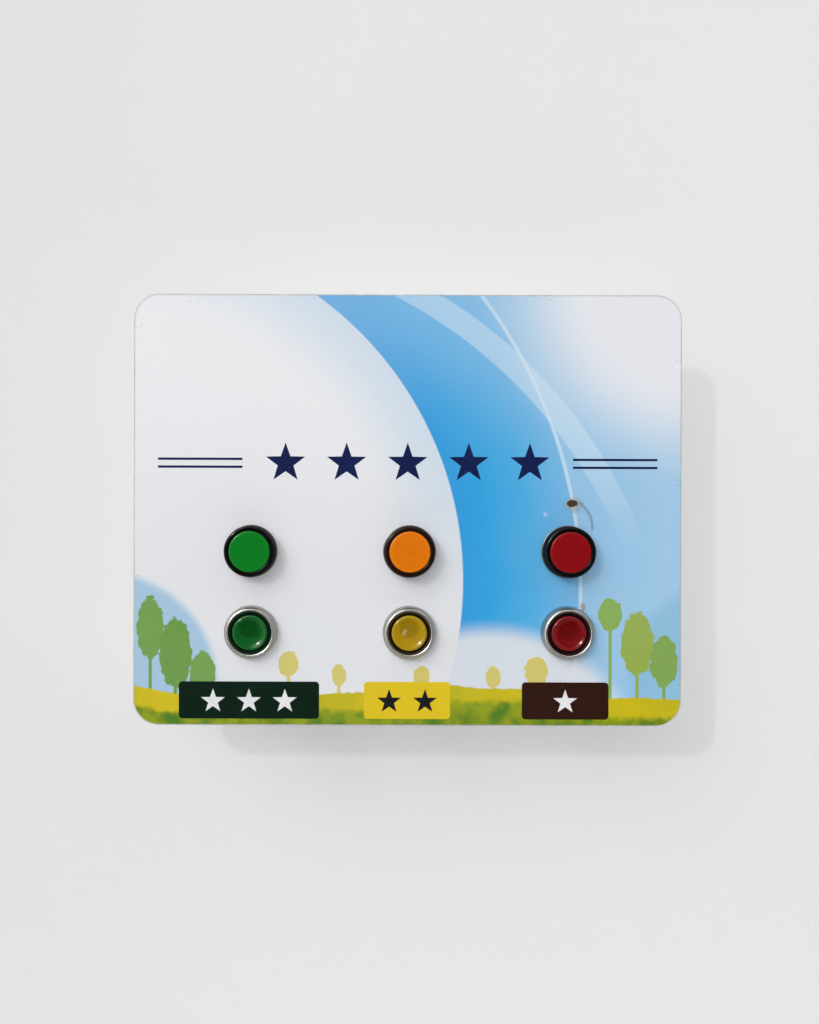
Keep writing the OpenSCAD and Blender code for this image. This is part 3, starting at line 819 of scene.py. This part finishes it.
def star_row():
    """Adds a centred row of raised stars to the piece it is given."""
    graph, given = forming_tree(
        "star row", Stars="Int", Pitch="Float", Radius="Float", Centre_x="Float",
        Centre_y="Float", Centre_z="Float", Thickness="Float", Base="Material",
        Material="Material")
    outline = graph.node(
        "GeometryNodeCurveStar", {},
        {"Points": 5, "Inner Radius": given["Radius"] * 0.4, "Outer Radius": given["Radius"],
         "Twist": 0.0})
    flat = graph.node("GeometryNodeFillCurve", {"mode": "NGONS"}, {"Curve": outline})
    under = graph.node("GeometryNodeFlipFaces", {}, {"Mesh": flat})
    raised = graph.node(
        "GeometryNodeExtrudeMesh", {"mode": "FACES"},
        {"Mesh": flat, "Offset Scale": given["Thickness"]})
    solid = graph.node(
        "GeometryNodeMergeByDistance", {},
        {"Geometry": joined(graph, under, raised), "Distance": 1e-3 * mm})
    upright = graph.node(
        "GeometryNodeTransform", {}, {"Geometry": solid, "Rotation": (pi / 2, -pi / 2, 0)})
    reach = given["Pitch"] * (given["Stars"] - 1) * 0.5
    first = vector(graph, given["Centre x"] - reach, given["Centre y"], given["Centre z"])
    row = row_of(graph, upright, given["Stars"], vector(graph, given["Pitch"]), first)
    base = dressed(graph, given["Piece"], given["Base"])
    return hand_out(graph, joined(graph, base, dressed(graph, row, given["Material"])))


def cut_vinyl(name, code, worn):
    """Solid-coloured label film: satin, with pale nicks and a fine orange peel."""
    f = Finish(name)
    peel = f.noise(0.9, 2, seed=5)
    cloud = f.noise(16, 3, seed=6)
    nick = f.noise(1.0, 3, 0.8, seed=12).fade(0.7, 0.74)
    tone = f.mix(cloud.fade(0.35, 0.75) * 0.5, code, worn)
    tone = f.mix(nick * 0.5, tone, "#C9C4BC")
    return f.set(
        Base_Color=tone, Roughness=0.33 + peel * 0.08 + nick * 0.2,
        Specular_IOR_Level=0.07, Normal=f.bump(peel, 0.012))


white_ink = cut_vinyl("white film", "#E2E2E5", "#CFD2D8")
dark_ink = cut_vinyl("dark film", "#17171B", "#232329")
navy_ink = cut_vinyl("navy film", "#101C48", "#18265A")
stars = star_row()
star_t = 0.06 * mm
label_star_r, label_star_pitch = 7, 20
for side, slot, code, worn, ink, count in (
        ("left", "label_green", "#091F13", "#0E2418", white_ink, 3),
        ("middle", "label_yellow", "#DABE24", "#D3B72B", dark_ink, 2),
        ("right", "label_brown", "#2C170F", "#331C13", white_ink, 1)):
    node = "label_" + side
    middle = middle_of(node)
    base = cut_sheet(node + "_base", node, 2, 0.05)
    film = cut_vinyl(node + " film", code, worn)
    label = form_from(
        node + "_finish", ink, stars, base.data,
        {"Stars": count, "Pitch": label_star_pitch * mm, "Radius": label_star_r * mm,
         "Centre x": middle.x, "Centre y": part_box(node)[0].y,
         "Centre z": middle.z - 0.6 * mm, "Thickness": star_t, "Base": film})
    bpy.data.objects.remove(base)
    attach(label, "housing")
    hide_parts(node)


def rule_pairs(face_y, height, gap, inner, outer, thick):
    """Two thin bars on each side of the row of stars, as closed raised boxes."""
    form = bmesh.new()
    for sx in (-1, 1):
        for sz in (-1, 1):
            size = ((outer - inner) * mm, star_t, thick * mm)
            spot = Vector((
                sx * (inner + outer) / 2 * mm, face_y - star_t / 2,
                (height + sz * gap / 2) * mm))
            bmesh.ops.create_cube(
                form, size=1,
                matrix=Matrix.Translation(spot) @ Matrix.Diagonal((*size, 1)))
    return drawn("rules", form)


print_face = sheet_low.y
header_z = 26.0
header = form_from(
    "header_stars", navy_ink, stars, rule_pairs(print_face, header_z, 4.4, 92, 139, 1.3),
    {"Stars": 5, "Pitch": 34 * mm, "Radius": 11.5 * mm, "Centre x": 0.0,
     "Centre y": print_face, "Centre z": header_z * mm, "Thickness": star_t,
     "Base": navy_ink})
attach(header, "housing")


# ---- Gaskets, trim rings and panel nuts ----
# Each lamp and button is sealed to the print by a thin black ring and clamped from
# behind by a hexagon nut. The lamps also stand on a thin bright ring.

def column_grid():
    """Sets the piece it is given at every column, and at every row below the first."""
    graph, given = forming_tree(
        "column grid", Columns="Int", Pitch="Float", Rows="Int", Drop="Float",
        Material="Material")
    stack = row_of(graph, given["Piece"], given["Rows"], vector(graph, z=-given["Drop"]))
    grid = row_of(graph, stack, given["Columns"], vector(graph, given["Pitch"]))
    return hand_out(graph, dressed(graph, grid, given["Material"]))


def in_columns(blank, material, slot, node, rows):
    """Repeats a piece of the left lamp over the columns and rows."""
    piece = form_from(
        node + "_finish", material, columns, blank.data,
        {"Columns": 3, "Pitch": pitch * mm, "Rows": rows, "Drop": (lamp_z - button_z) * mm})
    bpy.data.objects.remove(blank)
    fit(piece, material, slot, node)


def height_of(node):
    """How far a CAD node reaches out from the panel's face: its back and its front."""
    low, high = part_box(node)
    return (panel_face - high.y) / mm, (panel_face - low.y) / mm


def radius_of(node):
    low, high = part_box(node)
    return (high.x - low.x) / 2 / mm


columns = column_grid()
gasket_foot, gasket_top = height_of("panel_gaskets")
gasket_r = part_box("panel_gaskets")[1].z / mm - lamp_z - 0.2
round_lip = bend((gasket_r - 0.3, gasket_top - 0.3), 0.3, 0, 90, 3)
in_columns(
    turned("gasket_blank", "lamp_collar_left", [
        (hole_r + 0.05, gasket_foot), (gasket_r, gasket_foot), *round_lip,
        (hole_r + 0.05, gasket_top)]),
    black_rubber, "black_rubber", "panel_gaskets", 2)

trim_foot, trim_top = height_of("lamp_trim_rings")
trim_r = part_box("lamp_trim_rings")[1].z / mm - lamp_z
in_columns(
    turned("trim_blank", "lamp_collar_left", [
        (hole_r + 0.05, trim_foot), (trim_r, trim_foot),
        *bend((trim_r - 0.4, trim_top - 0.4), 0.4, 0, 90, 4), (hole_r + 0.05, trim_top)]),
    plated("trim chrome", "#827F79", 0.26, "#65615B"), "trim_chrome", "lamp_trim_rings", 1)

nylon = moulding("black nylon", "#1A1A1C", 0.46, "#262628")
leave(nylon, "panel_nuts")


# ---- Indicator lamps ----
# A glossy black collar is screwed down on the panel round a coloured lens. The lens is
# moulded with a fine satin face. Behind it are the lamp's board and its threaded body.

def from_axis(f, node):
    """How far in mm a point is from a CAD node's axis: sideways, upwards and straight."""
    dx = f.x - middle_of(node).x / mm
    dz = f.z - middle_of(node).z / mm
    return dx, dz, (dx * dx + dz * dz) ** 0.5


def collar_gloss(name, node, code):
    """Dark plastic, polished on its face and matt down its side, with dull fingermarks."""
    f = Finish(name)
    side = (radius_of(node) - from_axis(f, node)[2]).fade(0.65, 0.2)
    smudge = f.noise(7, 4, 0.6, seed=3).fade(0.45, 0.8)
    hair = f.noise(0.35, 3, 0.8, stretch=(1, 1, 0.1), seed=5).fade(0.66, 0.72)
    f.set(
        Base_Color=f.mix(smudge * 0.4, code, "#0E0F12"),
        Roughness=0.14 + side * 0.26 + smudge * 0.08 + hair * 0.1,
        Specular_IOR_Level=0.22, Normal=f.bump(hair, 0.004))
    matt = f.node("ShaderNodeBsdfDiffuse", {}, {"Color": colour("#060607"), "Roughness": 0.6})
    return f.under(side * 0.7, matt)


def lens_plastic(name, node, code, edge):
    """Tinted plastic with a painted sheen towards its rounded rim, a painted shadow line round
    its very edge, and a tiny mark where it was moulded.
    """
    f = Finish(name)
    out = from_axis(f, node)[2]
    inset = radius_of(node) - out
    cloud = f.noise(6, 3, seed=2)
    satin = f.noise(0.3, 2, seed=8)
    rim = inset.fade(2.6, 0.2)
    gate = out.fade(0.8, 0.5)
    # Painted sheen: the tint lightens towards the rounded rim, under random clouds.
    tone = f.mix(rim * 0.7 + cloud.fade(0.4, 0.8) * 0.2, code, edge)
    # Painted shadow: the last 0.4 mm of the edge, where the lens meets the collar, is darkened.
    # The gate mark darkens the middle a little.
    tone = f.mix(gate * 0.15 + inset.fade(0.4, 0.1) * 0.8, tone, "#101010")
    return f.set(
        Base_Color=tone, Roughness=0.22 + satin * 0.1 + gate * 0.2,
        Specular_IOR_Level=0.08, Coat_Weight=inset.fade(1.5, 0.9) * 0.3, Coat_Roughness=0.09,
        Normal=f.bump(satin * 0.05 - gate * 0.5, 0.12))


# Each lamp by side: its name, lens colour, the lighter colour of the lens's painted rim sheen,
# and collar colour. The orange lamp's collar is tinted brown as a painted reflection of its
# lens.
lens_colours = {
    "left": ("green", "#02751C", "#047F22", "#060708"),
    "middle": ("orange", "#D87001", "#E57D06", "#1F0E07"),
    "right": ("red", "#86040F", "#900812", "#060708")}
lamp_plastic = moulding("lamp plastic", "#222224", 0.45, "#2E2E31")
lamp_laminate = moulding("lamp laminate", "#DEDACB", 0.4, "#CFCAB8")
stem_r = 10.9
for side, (tint, code, edge, dark) in lens_colours.items():
    collar = "lamp_collar_" + side
    foot, top = height_of(collar)
    r = radius_of(collar)
    lens = "lamp_lens_" + side
    lens_foot, lens_top = height_of(lens)
    lens_r = radius_of(lens)
    fit(
        turned(collar + "_finish", collar, [
            (stem_r + 0.05, foot), (r - 0.3, foot), (r, foot + 0.3),
            (r, foot + 1.6), (r - 0.12, foot + 1.75), (r - 0.12, foot + 2.0),
            (r, foot + 2.15), *bend((r - 1.3, top - 1.2), 1.2, 4, 90, 10),
            (lens_r + 0.55, top), *bend((lens_r + 0.55, top - 0.45), 0.45, 90, 175, 5),
            (lens_r + 0.08, lens_foot - 2.1), (stem_r + 0.05, lens_foot - 2.1)], 128),
        collar_gloss(tint + " lamp collar", collar, dark), "collar_black", collar)
    fit(
        turned(lens + "_finish", lens, [
            (lens_r - 1.4, lens_foot), (lens_r, lens_foot),
            *bend((lens_r - 1, lens_top - 1), 1, 0, 90, 12),
            (lens_r - 1.6, lens_top), (0, lens_top), (0, lens_top - 1.5),
            (lens_r - 1.4, lens_top - 1.5)], 128),
        lens_plastic(tint + " lens", lens, code, edge), "lens_" + tint, lens)
    leave(lamp_plastic, "lamp_body_" + side)
    leave(lamp_laminate, "lamp_board_" + side)


# ---- Push buttons ----
# A turned metal bezel rings a black guide, in which a dished cap slides. A spring lifts
# the cap again, and its plunger works the contact block clipped on behind.

def bezel_metal(name, node):
    """Satin plating over a turned ring, so its fine marks run round the axis."""
    f = Finish(name)
    out = from_axis(f, node)[2]
    lines = f.node(
        "ShaderNodeTexNoise", {"noise_dimensions": "1D"},
        {"W": out * 9 + f.y * 7, "Scale": 1.0, "Detail": 2.0})
    cloud = f.noise(5, 4, 0.6, seed=2)
    tarnish = f.noise(2.2, 4, 0.7, seed=7).fade(0.52, 0.75)
    foot = (f.y - panel_face / mm).fade(-3.5, -1.2)
    tone = f.mix(cloud.fade(0.3, 0.8) * 0.5, "#C2BFB9", "#AAA69F")
    # Painted shade: the outer flank is darker all round than the crest.
    shaded_flank = (radius_of(node) - out).fade(1.25, 0.65)
    tone = f.mix(shaded_flank * 0.5, tone, "#807A72")
    # Tarnish in random patches, and painted shade that darkens the foot where the bezel meets
    # the panel.
    tone = f.mix(tarnish * 0.25 + foot * 0.35, tone, "#5E564B")
    return f.set(
        Base_Color=tone, Metallic=1.0,
        Roughness=0.25 + (lines - 0.5) * 0.12 + tarnish * 0.1 + shaded_flank * 0.12,
        Normal=f.bump(lines, 0.012))


def cap_plastic(name, node, code, deep, rim_code, scuffed):
    """Tinted clear plastic with a painted dark reflection a little above the middle of its dish,
    and brighter round its rim.
    """
    f = Finish(name)
    dx, dz, out = from_axis(f, node)
    inset = radius_of(node) - out
    # Painted reflection: the dish is darkest round a point 2.6 mm above its middle, and paler
    # out towards its rim.
    from_painted_reflection = ((dx + 0.4) * (dx + 0.4) + (dz - 2.6) * (dz - 2.6)) ** 0.5
    cloud = f.noise(3.5, 3, seed=4)
    wear = f.noise(0.5, 3, 0.8, stretch=(1, 1, 0.2), seed=6).fade(0.66, 0.74)
    body = (from_painted_reflection + (cloud - 0.5) * 4).fade(3.8, 7.2)
    tone = f.mix(body, deep, code)
    tone = f.mix(inset.fade(1.05, 0.55) * 0.4, tone, rim_code)
    nick = f.noise(0.9, 3, 0.8, seed=21) - 0.5
    mark = (((dx + 2.8) / 1.2) ** 2 + ((dz - 0.5) / 2.0) ** 2) ** 0.5 + nick * 4.5
    mark = mark.fade(1.0, 0.4) * scuffed
    tone = f.mix(mark * 0.6, tone, "#C0B98A")
    return f.set(
        Base_Color=tone, Roughness=0.14 + cloud * 0.05 + wear * 0.12 + mark * 0.3,
        Specular_IOR_Level=0.22, Coat_Weight=inset.fade(1.25, 0.75) * 0.25,
        Coat_Roughness=0.09,
        Normal=f.bump(wear * 0.3 + cloud, 0.01))


def guide_plastic(name, node, bore, reflected_cap_tint):
    """Glossy black plastic with a painted reflection of the cap's colour on its slope."""
    f = Finish(name)
    # Painted reflection: the outer slope takes on the cap's colour.
    slope = from_axis(f, node)[2].fade(bore + 0.55, bore + 1.45)
    fleck = f.noise(0.6, 3, 0.7, seed=9)
    return f.set(
        Base_Color=f.mix(slope, "#070708", reflected_cap_tint),
        Roughness=0.2 + fleck * 0.12, Specular_IOR_Level=0.25,
        Normal=f.bump(fleck, 0.006))


def spring_coil():
    """A compression spring that stands on the wall side and points out of the panel."""
    graph, given = forming_tree(
        "spring coil", Turns="Float", Radius="Float", Wire="Float", Length="Float",
        Centre_x="Float", Foot_y="Float", Centre_z="Float", Material="Material")
    around = graph.node(
        "GeometryNodeCurveSpiral", {},
        {"Resolution": 32, "Rotations": given["Turns"], "Start Radius": given["Radius"],
         "End Radius": given["Radius"], "Height": 1.0})
    spot = graph.outputs(graph.node(
        "ShaderNodeSeparateXYZ", {}, {0: graph.node("GeometryNodeInputPosition", {}, {})}))
    turn = spot[2] * given["Turns"]
    closed = given["Wire"] * 2 + 0.45 * mm
    open_turns = given["Turns"] - 2
    rise = (given["Length"] - given["Wire"] * 2 - closed * 2) / open_turns
    height = given["Wire"] + turn.least(1) * closed
    height = height + (turn - 1).most(0).least(open_turns) * rise
    height = height + (turn - open_turns - 1).most(0) * closed
    path = graph.node(
        "GeometryNodeSetPosition", {},
        {"Geometry": around, "Position": vector(graph, spot[0], spot[1], height)})
    section = graph.node(
        "GeometryNodeCurvePrimitiveCircle", {}, {"Resolution": 10, "Radius": given["Wire"]})
    wire = graph.node(
        "GeometryNodeCurveToMesh", {},
        {"Curve": path, "Profile Curve": section, "Fill Caps": True})
    stood = graph.node(
        "GeometryNodeTransform", {},
        {"Geometry": wire, "Rotation": (pi / 2, 0, 0),
         "Translation": vector(
             graph, given["Centre x"], given["Foot y"], given["Centre z"])})
    return hand_out(graph, dressed(graph, stood, given["Material"]))


def spring(node, x, turns, radius, wire):
    """A spring in place of its CAD node."""
    low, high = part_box(node)
    length = high.y - low.y
    piece = form_from(
        node + "_finish", spring_wire, coils, bpy.data.meshes.new(node + "_finish"),
        {"Turns": turns, "Radius": radius * mm, "Wire": wire * mm, "Length": length,
         "Centre x": x, "Foot y": high.y, "Centre z": button_z * mm})
    fit(piece, spring_wire, "spring_wire", node)
    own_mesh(piece)


# Each cap by side: its name, its colour, the dark colour of the painted reflection in its dish,
# its rim colour, and the cap colour painted on its guide as a reflection.
cap_colours = {
    "left": ("green", "#0A5820", "#044512", "#056E20", "#08301A"),
    "middle": ("yellow", "#A88705", "#917206", "#B39A0E", "#3E301A"),
    "right": ("red", "#73080D", "#610606", "#870511", "#2A110A")}
coils = spring_coil()
spring_wire = plated("spring wire", "#A8A8A6", 0.3, "#7E7C78")
guide_gloss = moulding("guide nylon", "#08080A", 0.22, "#0E0E10", 0.5, 0.4)
natural_nylon = moulding("natural nylon", "#DAD5C4", 0.42, "#CCC6B2")
cap_r = radius_of("button_cap_left")
dish_steps = [1.0, 0.975, 0.95, 0.925, 0.9, 0.87, 0.84, 0.8, 0.75, 0.68, 0.6, 0.5, 0.35, 0.15]
for side, (tint, code, deep, rim_code, reflected_cap_tint) in cap_colours.items():
    bezel = "button_bezel_" + side
    foot, crest = height_of(bezel)
    r = radius_of(bezel)
    body = "button_body_" + side
    guide_top = height_of(body)[1]
    bore = cap_r + 0.3
    guide_r = bore + 1.75
    fit(
        turned(bezel + "_finish", bezel, [
            (bore + 1.45, foot), (r - 0.2, foot), (r, foot + 0.2),
            *bend((r - 4.5, crest - 3.4), 4.5, 2, 44, 10),
            *bend((r - 1.85, crest - 0.75), 0.75, 46, 165, 12),
            (guide_r + 0.05, guide_top + 0.1), (bore + 1.45, guide_top)], 128),
        bezel_metal(tint + " button bezel", bezel), "bezel_metal", bezel)
    cap = "button_cap_" + side
    cap_foot, cap_top = height_of(cap)
    rim_r = 1.2
    dish_r, dish = cap_r - rim_r, 1.1
    hollow = [(dish_r * t, cap_top - dish * (1 - t ** 4)) for t in dish_steps]
    fit(
        turned(cap + "_finish", cap, [
            (cap_r - 1.25, cap_foot), (cap_r, cap_foot),
            *bend((dish_r, cap_top - rim_r), rim_r, 0, 80, 12), *hollow,
            (0, cap_top - dish), (0, cap_top - 2.2), (cap_r - 1.25, cap_top - 2.2)], 128),
        cap_plastic(tint + " cap", cap, code, deep, rim_code, side == "middle"),
        "cap_" + tint, cap,
        body="button_" + side)
    leave(guide_gloss, body)
    guide = turned("guide_ring_" + side, body, [
        (bore + 0.02, guide_top - 0.1), (bore + 1.38, guide_top - 0.1),
        (guide_r, guide_top + 0.05), (guide_r, guide_top + 0.9),
        (guide_r - 0.12, guide_top + 1.0), (bore + 0.75, guide_top + 0.06),
        (bore + 0.02, guide_top + 0.02)], 128)
    guide.data.materials.append(guide_plastic(tint + " button guide", bezel, bore, reflected_cap_tint))
    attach(guide, "housing")
    leave(natural_nylon, "plunger_" + side)
    leave(nylon, "contact_block_" + side)
    leave(brass, "contact_bridge_" + side)
    axis_x = middle_of(cap).x
    spring("return_spring_" + side, axis_x, 6, 6.2, 0.5)
    spring("contact_spring_" + side, axis_x, 5, 2.1, 0.25)


# ---- The wall, the floor and the light ----
# A pale painted wall behind the terminal and a plain floor well below it. Two broad lamps,
# one small one for the shadow, and a soft room that is brighter above and on the left.

def wall_paint(name, one_sided):
    """Matt paint, darker towards the bottom and towards the left as painted shade. From behind,
    a one-sided wall isn't there at all.
    """
    f = Finish(name)
    roller = f.noise(2.6, 4, 0.6)
    drift = f.noise(90, 2, seed=3)
    # Painted shade: darker lower down and towards the left.
    tone = f.mix(f.z.fade(220, -220), "#E9E9E9", "#E2E2E2")
    tone = f.mix(f.x.fade(-40, -260) * 0.35, tone, "#D9D9D9")
    f.set(
        Base_Color=f.mix(drift * 0.3, tone, "#E7E4E2"), Roughness=0.8,
        Specular_IOR_Level=0.2, Normal=f.bump(roller, 0.12))
    if one_sided:
        facing = f.node("ShaderNodeNewGeometry", {}, {}, "Backfacing")
        return f.under(facing, f.node("ShaderNodeBsdfTransparent", {}, {}))
    return f.material


def broad_sheet(name, half_w, half_h, opening=()):
    """A flat sheet facing -Y, with an opening in its middle if it is given one."""
    corners = [(-half_w, -half_h), (half_w, -half_h), (half_w, half_h), (-half_w, half_h)]
    form = bmesh.new()
    edges = []
    for loop in (corners, opening):
        verts = [form.verts.new((x, 0, z)) for x, z in loop]
        edges += [form.edges.new((verts[k - 1], verts[k])) for k in range(len(verts))]
    bmesh.ops.triangle_fill(form, use_beauty=True, edges=edges, normal=(0, -1, 0))
    form.normal_update()
    bmesh.ops.reverse_faces(form, faces=[f for f in form.faces if f.normal.y > 0])
    return placed(name, drawn(name, form))


housing_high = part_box("rear_housing")[1]
behind_housing = round_corners(
    housing_high.x - 0.5 * mm, housing_high.z - 0.5 * mm, 7.5 * mm, 12)
wall_gap = 0.3 * mm
wall = broad_sheet("wall", 1.5, 1.2, behind_housing)
wall.data.transform(Matrix.Translation((0, wall_gap, 0)))
wall.data.materials.append(wall_paint("wall paint", True))
floor_z = -1.2
floor = broad_sheet("floor", 1.5, 1.5)
floor.data.transform(
    Matrix.Translation((0, 0, floor_z)) @ Matrix.Rotation(radians(-90), 4, "X"))
floor.data.materials.append(wall_paint("floor paint", False))


def far_lamp(name, towards, width, strength):
    """A lamp far away in that direction, as wide in the sky as the angle in degrees."""
    lamp = bpy.data.lights.new(name, "SUN")
    lamp.angle = radians(width)
    lamp.energy = strength
    holder = placed(name, lamp)
    holder.location = towards
    holder.rotation_euler = Vector(towards).to_track_quat("Z", "Y").to_euler()
    return holder


# The broad lamps are shadowed only by what stands on the panel, so the wall keeps one
# crisp shadow. The glint lamp is seen only in glossy surfaces, the front lamp never.
upper_left = (-0.53, -1.0, 0.41)
far_lamp("shadow lamp", upper_left, width=2, strength=0.34)
glint = far_lamp("glint lamp", upper_left, width=3, strength=1.2)
window = far_lamp("window lamp", (-0.693, -1.0, 0.695), width=40, strength=1.1)
front = far_lamp("front lamp", (-0.07, -1.0, 0.055), width=42, strength=1.1)
glint.visible_diffuse = False
front.visible_glossy = False
raised = bpy.data.collections.new("raised pieces")
for piece in list(wanted.objects):
    if piece.name.startswith(("lamp_", "button_", "label_", "guide_", "panel_gaskets")):
        raised.objects.link(piece)
window.light_linking.blocker_collection = raised
front.light_linking.blocker_collection = raised

world = bpy.data.worlds.new("room")
bpy.context.scene.world = world
world.use_nodes = True
room = Graph(world.node_tree)
look = room.node("ShaderNodeTexCoord", {}, {}, "Generated")
right, into, up = room.outputs(room.node("ShaderNodeSeparateXYZ", {}, {0: look}))
behind = into.fade(-0.02, 0.02)

# Soft light comes from the room in front. Glossy surfaces see a brighter room with a dark
# patch where the camera stands, and the camera itself sees plain pale grey.
sky = (1 + up * 1.6).most(0) * 0.206 * (1 - behind) + behind
shine = (abs(into).least(0.5) * 2.2 + 0.3) * (1 - right * 0.5 + up * 0.5)
shine = shine * (1 - (-into).fade(0.68, 0.88) * 0.96)
rays = room.outputs(room.node("ShaderNodeLightPath", {}, {}))
seen, glossy = rays[0], rays[3]
level = glossy * shine + (1 - glossy) * sky
backdrop = world.node_tree.nodes["Background"]
room.tree.links.new((level * (1 - seen) + seen * 0.8).socket, backdrop.inputs["Strength"])
backdrop.inputs["Color"].default_value = (1.0, 0.995, 0.99, 1)

camera = bpy.data.cameras.new("camera")
camera.lens = 42.61
camera.sensor_width = 36
camera.shift_x = 0.0366
camera.clip_start = 0.01
eye = placed("camera", camera)
roll = 0.0031
eye_x, eye_z, eye_distance = -0.0198, -0.00115, 0.675
right_axis = Vector((1, 0, roll)).normalized()
back_axis = Vector((0, -1, 0))
up_axis = back_axis.cross(right_axis)
turn = Matrix((right_axis, up_axis, back_axis)).transposed().to_4x4()
eye.matrix_world = Matrix.Translation((eye_x, panel_face - eye_distance, eye_z)) @ turn
bpy.context.scene.camera = eye
bpy.context.scene.view_settings.view_transform = "Standard"
